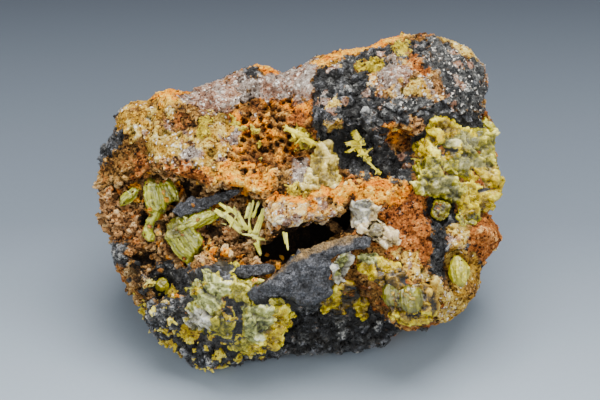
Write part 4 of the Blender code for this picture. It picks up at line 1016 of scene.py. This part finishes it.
def broken_shape(seed, count):
    """A closed shape with flat broken sides and up to `count` corners, about 1 millimetre across."""
    chances = np.random.default_rng(seed)
    shape = bmesh.new()
    for _ in range(count):
        way = chances.normal(size=3)
        shape.verts.new(way / np.linalg.norm(way) * chances.uniform(0.38, 0.56) * MM)
    bmesh.ops.convex_hull(shape, input=shape.verts)
    bmesh.ops.delete(shape, geom=[v for v in shape.verts if not v.link_faces], context="VERTS")
    return shape


def angular_grain():
    """A grain 1 millimetre across."""
    return object_from("angular_grain", broken_shape(6, 13))


def spiky_prism():
    """A six-sided crystal 1 millimetre long with a blunt point, standing in the surface."""
    shape = bmesh.new()
    bmesh.ops.create_cone(
        shape, cap_ends=True, segments=6, radius1=0.36 * MM, radius2=0.2 * MM, depth=0.9 * MM)
    bmesh.ops.translate(shape, verts=shape.verts, vec=(0, 0, 0.35 * MM))
    return object_from("spiky_prism", shape)


def scattered(name, tree, over, grain, look, crumbs, density, smallest, largest, seed):
    """Grains over the mesh of `over`, `density` to the square millimetre where crumbs is 1."""
    made = linked(name, over.data.copy())
    store(made.data, "crumbs", crumbs)
    spread = made.modifiers.new("Scatter", "NODES")
    spread.node_group = tree
    values = {"Grain": grain, "Look": look, "Density": density / MM**2, "Smallest": smallest,
              "Largest": largest, "Seed": seed}
    for item in tree.interface.items_tree:
        if item.name in values and item.in_out == "INPUT":
            spread[item.identifier] = values[item.name]
    return evaluated(made)


tumbled, upright = scatter_tree("tumbled_grains", False), scatter_tree("upright_crystals", True)
chip, spike = angular_grain(), spiky_prism()
rock_points = read_points(rock.data)[0]
places = to_face(rock_points)
weights = {name: stored(rock.data, name) for name in MINERALS}
bare = 1 - nearness(rock_points, list(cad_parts.keys() - {"gossan_matrix"}), 0.7, 1.5)
front = ease(places[:, 2] - BODY_LEAN * places[:, 1], -4.0, 0.0)
open_rock = bare * (0.25 + 0.75 * front) * ease(rock_points[:, 2], 1.0, 2.5)
dark = weights["oxide"] + weights["ash"]
glassy = weights["quartz"] + weights["sugar"] + weights["cream"] + weights["pink"]
loose = np.clip(weights["hollow"] + weights["clay"] + 1 - sum(weights.values()), 0, 1)
earthy = weights["ochre"] + weights["orange"] + weights["gold"] + weights["rust"] + weights["honey"]
# Each kind of grain: name, where it lies, how many to the square millimetre, smallest, largest, seed.
for name, crumbs, density, smallest, largest, seed in (
        ("loose_crumbs", open_rock * loose, 0.8, 0.6, 1.9, 3),
        ("earthy_grains", open_rock * np.clip(earthy, 0, 1), 1.6, 0.2, 0.6, 4),
        ("oxide_grains", open_rock * dark, 2.0, 0.3, 0.85, 5),
        ("quartz_grains", open_rock * glassy, 1.6, 0.2, 0.5, 7)):
    grains = scattered(name, tumbled, rock, chip, gossan_look, crumbs, density, smallest, largest, seed)
    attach(grains, "root")
tufts = scattered("yellow_tufts", upright, rock, spike, gossan_look, open_rock * weights["yellow"], 1.4, 0.6,
                  1.8, 9)
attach(tufts, "root")
for crust in crusts:
    yellow, pit, oxide = (stored(crust.data, label) for label in ("yellow", "pit", "oxide"))
    crumbs = (0.04 + 0.96 * yellow) * np.clip(1 - pit - oxide, 0, 1)
    plates = scattered(crust.name + "_plates", tumbled, crust, chip, crust.data.materials[0], crumbs, 0.5,
                       0.5, 1.7, 4)
    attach(plates, "root")


# ---- Loose chips ----
# Broken bits of limonite, rust and black oxide that lie in the hollow, against the crystals and along the
# foot, a millimetre to three across, each held where it fell by dried clay.

# Each mineral's chips: (across, up, size in millimetres).
CHIPS = {
    "orange": [
        (-27.4, 1.4, 1.9), (-27.0, 0.0, 1.8), (-30.0, -2.0, 1.8), (-31.4, -0.4, 1.3), (-32.4, -0.2, 1.5),
        (-14.8, -10.4, 3.2), (-6.6, -11.2, 1.8), (-3.8, -11.6, 2.3), (-1.0, -11.2, 2.0),
        (-6.2, -15.4, 2.3), (-4.2, -13.2, 2.1), (-9.0, -16.0, 1.7), (-24.6, -19.4, 1.9),
        (-19.4, -13.0, 1.6), (-16.6, -12.2, 1.8)],
    "rust": [
        (-34.6, -2.2, 2.1), (-33.4, -3.2, 1.8), (-36.2, 2.0, 2.0), (-38.2, 2.0, 2.2), (-28.2, -5.6, 2.1),
        (-34.6, -7.2, 2.2), (-35.8, -4.4, 2.0), (-15.0, -6.0, 1.7), (-37.6, -2.4, 1.8), (-23.6, -12.6, 1.5)],
    "brown": [
        (-38.6, 0.4, 1.9), (-32.6, -8.4, 2.8), (-31.0, -9.2, 2.4), (-17.4, -8.8, 2.4), (-19.0, -11.2, 2.1),
        (-13.0, -8.4, 2.3), (-27.8, -14.0, 1.9), (-29.6, -11.6, 2.0), (-21.4, -1.0, 1.5), (-24.4, 2.2, 1.8),
        (-13.4, 0.6, 2.2), (-10.2, -9.6, 1.9)],
    "cream": [
        (-27.0, -20.8, 2.4), (-25.4, -19.2, 2.0), (-31.0, -14.8, 1.5), (-9.2, -16.6, 1.6),
        (-19.0, -9.6, 1.7)],
    "oxide": [
        (-32.6, -12.8, 2.6), (-36.6, -10.8, 2.6), (-29.4, -23.6, 3.4), (-33.8, -16.0, 2.2),
        (-25.8, -23.0, 2.8), (-18.6, -5.0, 2.2), (-16.4, -4.0, 1.8), (-31.6, -18.0, 2.4),
        (-21.6, -28.4, 2.6), (-16.6, -31.0, 2.6)],
    "yellow": [
        (-18.6, -29.6, 1.7), (-21.0, -30.0, 1.4), (-17.0, -31.6, 1.9), (-24.2, -26.8, 1.4),
        (-15.4, -28.4, 1.7), (-28.0, -19.0, 1.2), (-33.0, -18.4, 1.2), (-26.4, -25.0, 1.1)],
}

CHIP_CORNERS = 16
CHIP_ROUGHNESS = 0.2
# The share of its size by which each chip is sunk in.
CHIP_DEPTH = 0.15


def from_face(places):
    """World points, in millimetres, of rows (across, up, towards)."""
    places = np.asarray(places, float).reshape(-1, 3)
    nearer = 1 - places[:, 2:] / SIGHT_LENGTH
    return MIDDLE + (places[:, :1] * ACROSS + places[:, 1:2] * UP) * nearer + places[:, 2:] * TOWARDS


# All that a sight line can meet, so that each chip comes to lie on what is in view at its place.
surfaces = bmesh.new()
for thing in [rock] + crusts:
    surfaces.from_mesh(thing.data)
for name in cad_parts:
    if name not in CRUSTS + ["gossan_matrix"]:
        surfaces.from_mesh(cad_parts[name].data)
in_sight = BVHTree.FromBMesh(surfaces)
surfaces.free()
throws = np.random.default_rng(5)
heap = bmesh.new()
marks = {name: heap.verts.layers.float.new(name) for name in ("raised",) + MINERALS}
for mineral, places in CHIPS.items():
    for across, up, size in places:
        aim = Vector(from_face([(across, up, 0.0)])[0] - EYE).normalized()
        hit = in_sight.ray_cast(Vector(EYE) * MM, aim)[0]
        turn = Euler(throws.uniform(0, math.tau, 3)).to_matrix().to_4x4()
        stretch = Matrix.Diagonal((*(size * throws.uniform((0.7, 0.7, 0.4), (1.1, 1.1, 0.8))), 1))
        sunk_in = Matrix.Translation(hit + aim * CHIP_DEPTH * size * MM)
        piece = broken_shape(int(throws.integers(1000)), CHIP_CORNERS)
        bmesh.ops.subdivide_edges(piece, edges=piece.edges, cuts=2, use_grid_fill=True)
        away = Vector(throws.uniform(0, 50, 3))
        for vertex in piece.verts:
            vertex.co *= 1 + CHIP_ROUGHNESS * noise.fractal(vertex.co / MM * 2.2 + away, FALL, FINER, 3)
        bmesh.ops.transform(piece, matrix=sunk_in @ turn @ stretch, verts=piece.verts)
        mesh = bpy.data.meshes.new("chip")
        piece.to_mesh(mesh)
        piece.free()
        before = len(heap.verts)
        heap.from_mesh(mesh)
        bpy.data.meshes.remove(mesh)
        heap.verts.ensure_lookup_table()
        for vertex in heap.verts[before:]:
            vertex[marks["raised"]] = 0.5
            if mineral in marks:
                vertex[marks[mineral]] = 1.0
chips = object_from("loose_chips", heap)
coat(chips, gossan_look)
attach(chips, "root")


# ---- The black oxide blades ----
# Manganese oxide in free plates: one broad plate folded along its length, and two small lenses lying in the
# hollow. Steel-grey to black, with a fine sparkle and brown dust on their upper sides.

# Each blade's voxel in millimetres.
BLADES = {"manganese_oxide_plate": 0.28, "manganese_oxide_lens": 0.2, "manganese_oxide_splinter": 0.2}
# Where brown dust lies on the display face, and the way a side has to look to catch it.
DUSTY = [
    (-9.4, -17.6), (-6.0, -13.6), (0.0, -9.0), (6.0, -7.6), (12.0, -6.6), (12.6, -8.4), (6.0, -9.6),
    (0.6, -12.2), (-4.0, -15.4)]
DUST_FALLS_ON = np.array((0.0, 0.35, 0.94))


def oxide_material():
    made, tree, shader = new_material("manganese_oxide")
    fine = use(tree, GRAINS, Size=4200.0, Tilt=0.9)
    coarse = use(tree, GRAINS, Size=900.0, Tilt=0.4)
    place = node(tree, "ShaderNodeTexCoord", out="Object")
    cloud = node(tree, "ShaderNodeTexNoise", Vector=place, Scale=500.0, Detail=4.0)
    tone = weighted(tree, (fine["Chance"], 0.36), (coarse["Chance"], 0.1), (cloud, 0.6))
    tone = math_node(tree, "SUBTRACT", tone, 0.08)
    steel = ramp(tree, tone, [
        (0.1, screen(18, 18, 19)), (0.4, screen(52, 53, 56)), (0.65, screen(92, 94, 100)),
        (0.9, screen(170, 174, 184))])
    brown = ramp(tree, tone, [
        (0.15, screen(40, 31, 20)), (0.5, screen(128, 106, 72)), (0.9, screen(204, 160, 96))])
    clouded = math_node(tree, "MULTIPLY_ADD", cloud, 1.2, -0.6)
    dust = math_node(tree, "ADD", attribute(tree, "dust"), clouded)
    dust = node(tree, "ShaderNodeMapRange", Value=dust, From_Min=0.3, From_Max=0.8)
    join(tree, mix(tree, dust, steel, brown), shader.inputs["Base Color"])
    glint = node(tree, "ShaderNodeMapRange", Value=fine["Other"], From_Min=0.7, From_Max=0.95, To_Min=0.46,
                 To_Max=0.14)
    join(tree, glint, shader.inputs["Roughness"])
    shader.inputs["Metallic"].default_value = 0.35
    relief = math_node(tree, "MULTIPLY_ADD", fine["Seam"], 0.3, cloud)
    bump = node(tree, "ShaderNodeBump", Strength=0.6, Distance=0.0003, Height=relief, Normal=fine["Facet"])
    join(tree, bump, shader.inputs["Normal"])
    return made


steel_look = oxide_material()
for name, voxel in BLADES.items():
    blade = remeshed(object_from(name + "_blade", cad_copy([name])), voxel)
    points, normals = read_points(blade.data)
    chance, small_chance = cells(points, 1.6, 3.0)[2], cells(points, 0.8, 5.0)[2]
    lump = 0.4 * fractal(points, 3.0, 4, 7.0) + 0.1 * chance + 0.12 * small_chance
    lump += 0.22 * facets(points, 2.2, 4.0)
    write_points(blade.data, points + normals * lump[:, None])
    places = to_face(points)
    facing = ease(normals @ DUST_FALLS_ON, 0.5, 0.95)
    inside = edge_distance(places[:, 0], places[:, 1], DUSTY)
    store(blade.data, "dust", ease(inside, -0.8, 0.8) * facing)
    coat(blade, steel_look)
    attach(blade, "root")
    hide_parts(name)


# ---- The crystals ----
# Pyromorphite prisms, six-sided and furrowed along their length. The big barrels are bundles of thin prisms
# grown into one, which bulge at the middle and end in a stepped top; a needle is one to three prisms.

# Each node's crystals: kind, voxel that fuses their strands (0 leaves them apart), how rough they are (1 is
# most), and for each crystal its start and end (across, up, towards), radii at both ends, waist, flatness and
# strands. The ring crystal's dark core is a prism of its own, which shows in its hollow end.
CRYSTALS = {
    "needle_spray": ("bright", 0.13, 0.4, [
        ((-11.3, -6.2, 12.8), (-15.6, -2.2, 14.2), (0.53, 0.38), 1.0, 1.0, 2),
        ((-11.8, -6.6, 12.6), (-15, -3.4, 14), (0.42, 0.26), 1.0, 1.0, 1),
        ((-14.6, -3.2, 13.8), (-17.2, -1.8, 13.6), (0.63, 0.43), 1.0, 1.0, 2),
        ((-14, -2.6, 13.9), (-16.2, -0.6, 13.8), (0.47, 0.34), 1.0, 1.0, 1),
        ((-10.6, -6.2, 13.2), (-12.4, -2.2, 14.5), (0.44, 0.31), 1.0, 1.0, 2),
        ((-8.4, -7.2, 12.7), (-11.8, -6.8, 12.9), (0.42, 0.32), 1.0, 1.0, 2),
        ((-10.2, -4.2, 13.4), (-9.2, 0.2, 15.1), (0.53, 0.41), 1.0, 1.0, 2),
        ((-9.9, -6.6, 12.9), (-10.3, -3, 14), (0.38, 0.27), 1.0, 1.0, 1),
        ((-9.4, -3.6, 13.7), (-8.2, -0.4, 15), (0.34, 0.31), 1.0, 1.0, 1),
        ((-8.7, -6.8, 12.8), (-6.9, -1.2, 15), (0.53, 0.26), 1.0, 1.0, 1),
        ((-9.3, -6.6, 12.7), (-7.5, -1.4, 14.6), (0.42, 0.21), 1.0, 1.0, 1),
        ((-5.3, -4.6, 13.8), (-6.6, -1.5, 14.8), (0.27, 0.22), 1.0, 1.0, 1),
        ((-6.2, -4.4, 13.6), (-7, -1, 14.4), (0.25, 0.19), 1.0, 1.0, 1),
        ((-8.8, -8.4, 12.4), (-7.8, -11.2, 11.9), (0.58, 0.30), 1.0, 1.0, 3),
        ((-8.4, -6.9, 12.6), (-8.2, -9.4, 12.2), (0.40, 0.21), 1.0, 1.0, 1),
        ((-14, -5.4, 13.6), (-12.6, -3, 14.6), (0.27, 0.21), 1.0, 1.0, 1),
        ((-14.6, -4.9, 12.9), (-16, -4.6, 12.9), (0.25, 0.17), 1.0, 1.0, 1),
        ((-11.6, -5.2, 13.4), (-13.2, -1.6, 14.6), (0.36, 0.25), 1.0, 1.0, 1),
        ((-10.9, -3.6, 14.2), (-10, -0.8, 15.2), (0.36, 0.29), 1.0, 1.0, 1),
        ((-12, -3.4, 14), (-14.4, -1.4, 14.4), (0.38, 0.25), 1.0, 1.0, 1),
        ((-9.6, -7.4, 12.8), (-6.4, -8, 12.6), (0.36, 0.17), 1.0, 1.0, 1),
        ((-6, -5.6, 13.8), (-5.6, -2.4, 14.8), (0.27, 0.19), 1.0, 1.0, 1)]),
    "hanging_needle": ("bright", 0, 0, [
        ((-3, -6.6, 20.8), (-2.4, -10, 21), (0.44, 0.17), 1.0, 1.0, 1),
        ((-3.3, -6.4, 20.7), (-2.9, -8.8, 20.9), (0.27, 0.12), 1.0, 1.0, 1)]),
    "star_sprig": ("lemon", 0.15, 1.0, [
        ((11.4, 11.6, 12.0), (11.0, 14.2, 12.6), (1.00, 0.40), 1.0, 0.6, 3),
        ((11.6, 11.4, 11.9), (8.8, 11.2, 12.4), (0.80, 0.35), 1.0, 0.6, 2),
        ((11.4, 11.2, 11.8), (9.2, 9.4, 12.4), (0.70, 0.30), 1.0, 0.6, 2),
        ((11.2, 11.2, 12.1), (13.4, 11.4, 12.5), (0.70, 0.30), 1.0, 0.6, 2),
        ((11.2, 11.6, 12.1), (13.2, 7.8, 12.5), (0.75, 0.50), 1.0, 0.6, 3),
        ((13.2, 8.1, 12.4), (15.8, 5.4, 12.3), (0.50, 0.30), 1.0, 0.7, 2),
        ((12.6, 8.6, 12.4), (14.4, 10.4, 12.6), (0.40, 0.25), 1.0, 1.0, 1)]),
    "cap_sprig": ("lemon", 0.15, 1.0, [
        ((-3.0, 14.4, 13.0), (1.2, 12.6, 13.0), (0.35, 0.65), 1.0, 0.7, 3),
        ((0.6, 12.8, 13.0), (3.4, 10.8, 13.2), (0.70, 0.50), 1.0, 0.7, 3),
        ((0.6, 12.6, 12.9), (-1.4, 10.8, 13.1), (0.50, 0.30), 1.0, 0.7, 2)]),
    "top_right_spike": ("yellow", 0.16, 1.0, [
        ((36.4, 15.8, 3.4), (38.8, 13.9, 3.8), (1.30, 0.80), 1.1, 0.8, 5),
        ((37.4, 16.4, 3.4), (36.0, 14.2, 3.6), (1.00, 0.70), 1.0, 0.8, 4)]),
    "ring_crystal": ("yellow", 0.14, 1.0, [
        ((28.0, -1.9, 12.5), (28.2, -2.0, 14.7), (2.10, 1.95), 1.0, 1.0, 12)]),
    "ring_core": ("dark", 0.14, 1.0, [
        ((28.0, -1.9, 13.0), (27.8, -1.8, 15.0), (1.35, 1.15), 1.0, 1.0, 6)]),
    "hexagonal_crystal": ("pale", 0.14, 0.7, [
        ((15.3, -5.9, 16.7), (15.2, -5.9, 19.8), (1.45, 1.30), 1.0, 1.0, 7)]),
    "upper_barrel_crystal": ("green", 0.16, 0.9, [
        ((-29.6, 4.0, 8.1), (-28.0, -2.6, 8.3), (1.90, 2.00), 1.28, 1.0, 9),
        ((-27.4, 3.8, 7.7), (-25.4, -0.4, 7.9), (1.50, 1.60), 1.25, 1.0, 8)]),
    "barrel_cluster": ("green", 0.16, 0.9, [
        ((-25.4, -4.4, 10.4), (-20.6, -11.4, 10.0), (2.00, 1.90), 1.25, 1.0, 9),
        ((-23.6, -4.0, 11.0), (-20.0, -9.8, 10.6), (1.50, 1.50), 1.20, 1.0, 8),
        ((-26.4, -6.4, 9.8), (-21.2, -12.8, 9.6), (1.50, 1.10), 1.20, 1.0, 8),
        ((-24.6, -5.8, 11.0), (-15.6, -1.8, 10.6), (2.30, 1.00), 1.15, 1.0, 9)]),
    "prism_pair": ("green", 0.14, 1.0, [
        ((-27.4, -0.8, 8.6), (-30.2, -5.4, 7.9), (0.80, 0.80), 1.0, 1.0, 4),
        ((-29.6, -3.4, 8.1), (-30.6, -6.6, 7.5), (0.60, 0.85), 1.0, 1.0, 4),
        ((-30.8, -5.6, 7.8), (-29.8, -8.0, 7.6), (1.10, 0.90), 1.1, 1.0, 6)]),
    "left_barrel_crystal": ("green", 0.14, 1.0, [
        ((-36.0, -0.4, 6.6), (-32.6, 2.0, 6.8), (0.95, 1.10), 1.25, 1.0, 8)]),
    "corner_crystal": ("yellow", 0.14, 0.6, [
        ((-27.8, -17.6, 7.2), (-27.4, -16.4, 9.0), (1.35, 1.20), 1.1, 1.0, 7)]),
    "right_lens_crystal": ("yellow", 0.15, 0.75, [
        ((31.4, -10.9, 14.1), (32.2, -18.0, 14.3), (0.55, 0.45), 4.4, 0.7, 11)]),
    "lower_right_barrels": ("olive", 0.16, 0.5, [
        ((18.3, -15.7, 19.3), (18.9, -21.6, 19.4), (1.60, 1.55), 1.3, 0.9, 12),
        ((21.9, -17.0, 20.1), (22.5, -22.6, 19.9), (2.00, 1.80), 1.3, 0.9, 12)]),
}
# Rings of corners along a strand below its bevel, and the most strands that stay apart in a loose bundle.
RINGS = 9
LOOSE_BUNDLE = 5
# Crystals less rough than this are smoothed for longer.
ROUGH = 0.6
SMOOTHING_OF_SMOOTH, SMOOTHING_OF_ROUGH = 3, 1
CRYSTAL_ROUNDS = 6
# Furrows run along a crystal, so their pattern is drawn out in its third direction.
DRAWN_OUT = (1, 1, 0.12)
# How far apart neighbouring crystals lie in that pattern.
PATTERN_STEP = 9.0
# One generator for all the crystals, in the order in which they are listed.
chances = np.random.default_rng(11)


def strand_layout(count):
    """Where the strands of a bundle of radius 1 stand in its cross-section, and how thick they are."""
    if count == 1:
        return [(0.0, 0.0, 1.0)]
    if count <= LOOSE_BUNDLE:
        turn = chances.uniform(0, math.tau)
        turns = [turn + math.tau * i / count for i in range(count)]
        return [(0.42 * math.cos(turn), 0.42 * math.sin(turn), 0.62) for turn in turns]
    ring = count - 1
    size = min(0.56, 2.4 / ring + 0.2)
    layout = [(0.0, 0.0, 0.7)]
    for i in range(ring):
        turn = math.tau * (i + chances.uniform(-0.2, 0.2)) / ring
        thick = size * chances.uniform(0.85, 1.1)
        layout.append(((1 - size) * math.cos(turn), (1 - size) * math.sin(turn), thick))
    return layout


def crystal_sides(along):
    """Two directions across a crystal."""
    guide = TOWARDS if abs(along @ TOWARDS) < 0.9 else UP
    side = np.cross(along, guide)
    side /= np.linalg.norm(side)
    return side, np.cross(along, side)


def add_crystal(shape, start, end, radii, waist, flat, count):
    """Adds one bundle of strands, each a closed six-sided prism with a small bevel at its top."""
    base, tip = from_face([start, end])
    length = np.linalg.norm(tip - base)
    along = (tip - base) / length
    side, depth = crystal_sides(along)
    common = chances.uniform(0, math.tau / 6)
    for shift_side, shift_depth, size in strand_layout(count):
        low = chances.uniform(0.0, 0.07) if count > 1 else 0.0
        high = 1 - (chances.uniform(0.0, 0.16) if count > 1 else 0.0)
        twist = common + chances.normal(0, 0.12)
        spread = chances.normal(0, 0.3, 2) if count <= LOOSE_BUNDLE else (0.0, 0.0)
        loops = []
        for ring in range(RINGS + 1):
            share = low + (high - low) * min(ring / (RINGS - 1), 1.0)
            bulge = 1 + (waist - 1) * math.sin(math.pi * share)
            radius = (radii[0] + (radii[1] - radii[0]) * share) * bulge
            radius *= 1 - 0.3 * (waist > 1) * abs(2 * share - 1) ** 4
            narrow = 0.6 if ring == RINGS else 1.0
            rise = 0.3 * size * radius if ring == RINGS else 0.0
            loop = []
            for corner in range(6):
                turn = twist + math.tau * corner / 6
                out = size * narrow
                right = radius * (shift_side + spread[0] * (1 - share) + out * math.cos(turn))
                back = radius * flat * (shift_depth + spread[1] * (1 - share) + out * math.sin(turn))
                place = base + along * (length * share + rise) + side * right + depth * back
                loop.append(shape.verts.new(place * MM))
            loops.append(loop)
        for below, above in zip(loops, loops[1:]):
            for i in range(6):
                j = (i + 1) % 6
                shape.faces.new((below[i], below[j], above[j], above[i]))
        shape.faces.new(loops[0][::-1])
        shape.faces.new(loops[-1])


def along_crystals(points, crystals):
    """Each point's place across and along its nearest crystal in millimetres, its share of the crystal's
    length, and the crystal's direction."""
    nearest = np.full(len(points), FAR_AWAY)
    places, ways, shares = np.zeros((len(points), 3)), np.zeros((len(points), 3)), np.zeros(len(points))
    for number, (start, end, *_) in enumerate(crystals):
        base, tip = from_face([start, end])
        length = np.linalg.norm(tip - base)
        along = (tip - base) / length
        side, depth = crystal_sides(along)
        offset = points - base
        height = offset @ along
        gap = np.linalg.norm(offset - np.clip(height, 0, length)[:, None] * along, axis=1)
        mine = gap < nearest
        nearest[mine] = gap[mine]
        across = offset @ side + PATTERN_STEP * number
        places[mine] = np.stack([across, offset @ depth, height], 1)[mine]
        shares[mine] = (height / length)[mine]
        ways[mine] = along
    return places, shares, ways


def build_furrows(tree, given, result):
    """Fine furrows along a crystal, finer the larger Size is."""
    fibre = node(tree, "ShaderNodeAttribute", out="Vector", settings={"attribute_name": "fibre"})
    furrow = node(tree, "ShaderNodeTexNoise", Vector=fibre, Scale=given["Size"], Detail=3.0)
    join(tree, furrow, result["Height"])


FURROWS = group(
    "furrows", [("Size", "NodeSocketFloat", 1.5)], [("Height", "NodeSocketFloat")], build_furrows)
MINERAL_COLOURS.update({
    "green crystal": [(32, 38, 0), (88, 93, 6), (142, 143, 22), (186, 186, 62), (242, 241, 184)],
    "yellow crystal": [(50, 46, 0), (108, 102, 0), (156, 148, 0), (192, 182, 6), (240, 234, 110)],
    "bright crystal": [(130, 130, 12), (196, 196, 42), (228, 226, 90), (240, 238, 142), (253, 252, 212)],
    "lemon crystal": [(110, 90, 0), (176, 156, 4), (220, 202, 24), (238, 226, 72), (252, 246, 168)],
    "olive crystal": [(24, 26, 0), (64, 63, 2), (100, 97, 8), (134, 130, 22), (212, 206, 116)],
    "dark crystal": [(12, 12, 10), (34, 34, 28), (62, 62, 50), (96, 94, 78), (160, 156, 138)],
    "pale crystal": [(64, 50, 34), (120, 104, 74), (162, 148, 112), (194, 184, 146), (236, 232, 206)],
})


def crystal_material(name, matt):
    made, tree, shader = new_material(name.replace(" ", "_"))
    furrow = use(tree, FURROWS, Size=2.6)["Height"]
    band = use(tree, FURROWS, Size=0.7)["Height"]
    broken_sides = use(tree, GRAINS, Size=1000.0, Tilt=0.4)
    place = node(tree, "ShaderNodeTexCoord", out="Object")
    cloud = node(tree, "ShaderNodeTexNoise", Vector=place, Scale=420.0, Detail=4.0)
    tone = weighted(tree, (attribute(tree, "strand"), 0.16), (furrow, 0.45), (band, 0.45), (cloud, 0.7))
    tone = math_node(tree, "SUBTRACT", tone, 0.36)
    from_middle = math_node(tree, "ABSOLUTE", math_node(tree, "SUBTRACT", attribute(tree, "along"), 0.5))
    stained = node(tree, "ShaderNodeMapRange", Value=math_node(tree, "MULTIPLY_ADD", cloud, 0.6, from_middle),
                   From_Min=0.66, From_Max=0.84, To_Max=0.7)
    # The crystal's ends are stained brown, and its crevices are darkened as painted shade.
    stain_and_shade = math_node(tree, "MAXIMUM", stained, attribute(tree, "pit"))
    colour = mix(tree, stain_and_shade, mineral_ramp(tree, tone, name), screen(60, 46, 8))
    join(tree, colour, shader.inputs["Base Color"])
    shader.inputs["Roughness"].default_value = matt
    shader.inputs["IOR"].default_value = 1.75
    shader.inputs["Subsurface Weight"].default_value = 0.4
    shader.inputs["Subsurface Radius"].default_value = (1.0, 1.0, 0.3)
    shader.inputs["Subsurface Scale"].default_value = 1.0 * MM
    strength = 0.3 if "olive" in name or "yellow" in name else 0.6
    bump = node(tree, "ShaderNodeBump", Strength=strength, Distance=0.0003, Height=furrow,
                Normal=broken_sides["Facet"])
    join(tree, bump, shader.inputs["Normal"])
    return made


# How matt each kind's sides are.
CRYSTAL_KINDS = {
    "green": 0.16, "bright": 0.22, "yellow": 0.28, "lemon": 0.3, "olive": 0.16, "pale": 0.3, "dark": 0.45}
crystal_looks = {kind: crystal_material(kind + " crystal", matt) for kind, matt in CRYSTAL_KINDS.items()}
# Crumbs of rock to the square millimetre that cling to each kind, and small spikes on a sprig.
DIRT = {"green": 0.16, "yellow": 0.1}
SPIKES_ON_SPRIGS = 1.6
for name, (kind, voxel, broken, crystals) in CRYSTALS.items():
    shape = bmesh.new()
    for crystal in crystals:
        add_crystal(shape, *crystal)
    bmesh.ops.recalc_face_normals(shape, faces=shape.faces)
    grown = object_from(name + "_prisms", shape)
    if voxel:
        grown = remeshed(grown, voxel, SMOOTHING_OF_SMOOTH if broken < ROUGH else SMOOTHING_OF_ROUGH)
        grown.data.shade_smooth()
    points, normals = read_points(grown.data)
    places, shares, ways = along_crystals(points, crystals)
    fibre = places * DRAWN_OUT
    edge, _, chance = cells(fibre, 0.9, 3.0)
    if voxel:
        relief = 0.14 * chance - 0.16 * (1 - ease(edge, 0.0, 0.16)) + 0.16 * fractal(fibre, 0.8, 3, 5.0)
        relief += 0.3 * fractal(points, 2.4, 4, 9.0) + 0.12 * facets(points, 1.3, 2.0)
        ends = ease(abs(shares - 0.5), 0.38, 0.5) * np.sign(shares - 0.5)
        stepped = ends * (0.45 * chance + 0.5 * fractal(points, 1.6, 3, 19.0) - 0.1)
        points = points + broken * (normals * relief[:, None] + ways * stepped[:, None])
        write_points(grown.data, points)
        points, normals = read_points(grown.data)
        sunk = hollowness(grown.data, points, normals, CRYSTAL_ROUNDS)
        # Painted shade: crevices between the fused strands are darkened in the colour.
        store(grown.data, "pit", (0.3 + 0.5 * broken) * ease(sunk, 0.02, 0.16))
    layer = grown.data.attributes.new("fibre", "FLOAT_VECTOR", "POINT")
    layer.data.foreach_set("vector", fibre.astype(np.float32).ravel())
    store(grown.data, "strand", 0.5 + 0.5 * chance)
    store(grown.data, "along", shares)
    coat(grown, crystal_looks[kind])
    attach(grown, "root")
    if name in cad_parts:
        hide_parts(name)
    dirt = DIRT.get(kind, 0.0) if voxel else 0.0
    spikes = SPIKES_ON_SPRIGS if "sprig" in name else 0.0
    for label, tree, grain, look, density, smallest, largest in (
            ("_dirt", tumbled, chip, gossan_look, dirt, 0.4, 1.5),
            ("_spikes", upright, spike, crystal_looks[kind], spikes, 0.4, 1.1)):
        if density:
            share = 0.5 + ease(abs(shares - 0.5), 0.2, 0.5)
            grains = scattered(name + label, tree, grown, grain, look, share, density, smallest, largest, 6)
            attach(grains, "root")
bpy.data.objects.remove(chip)
bpy.data.objects.remove(spike)
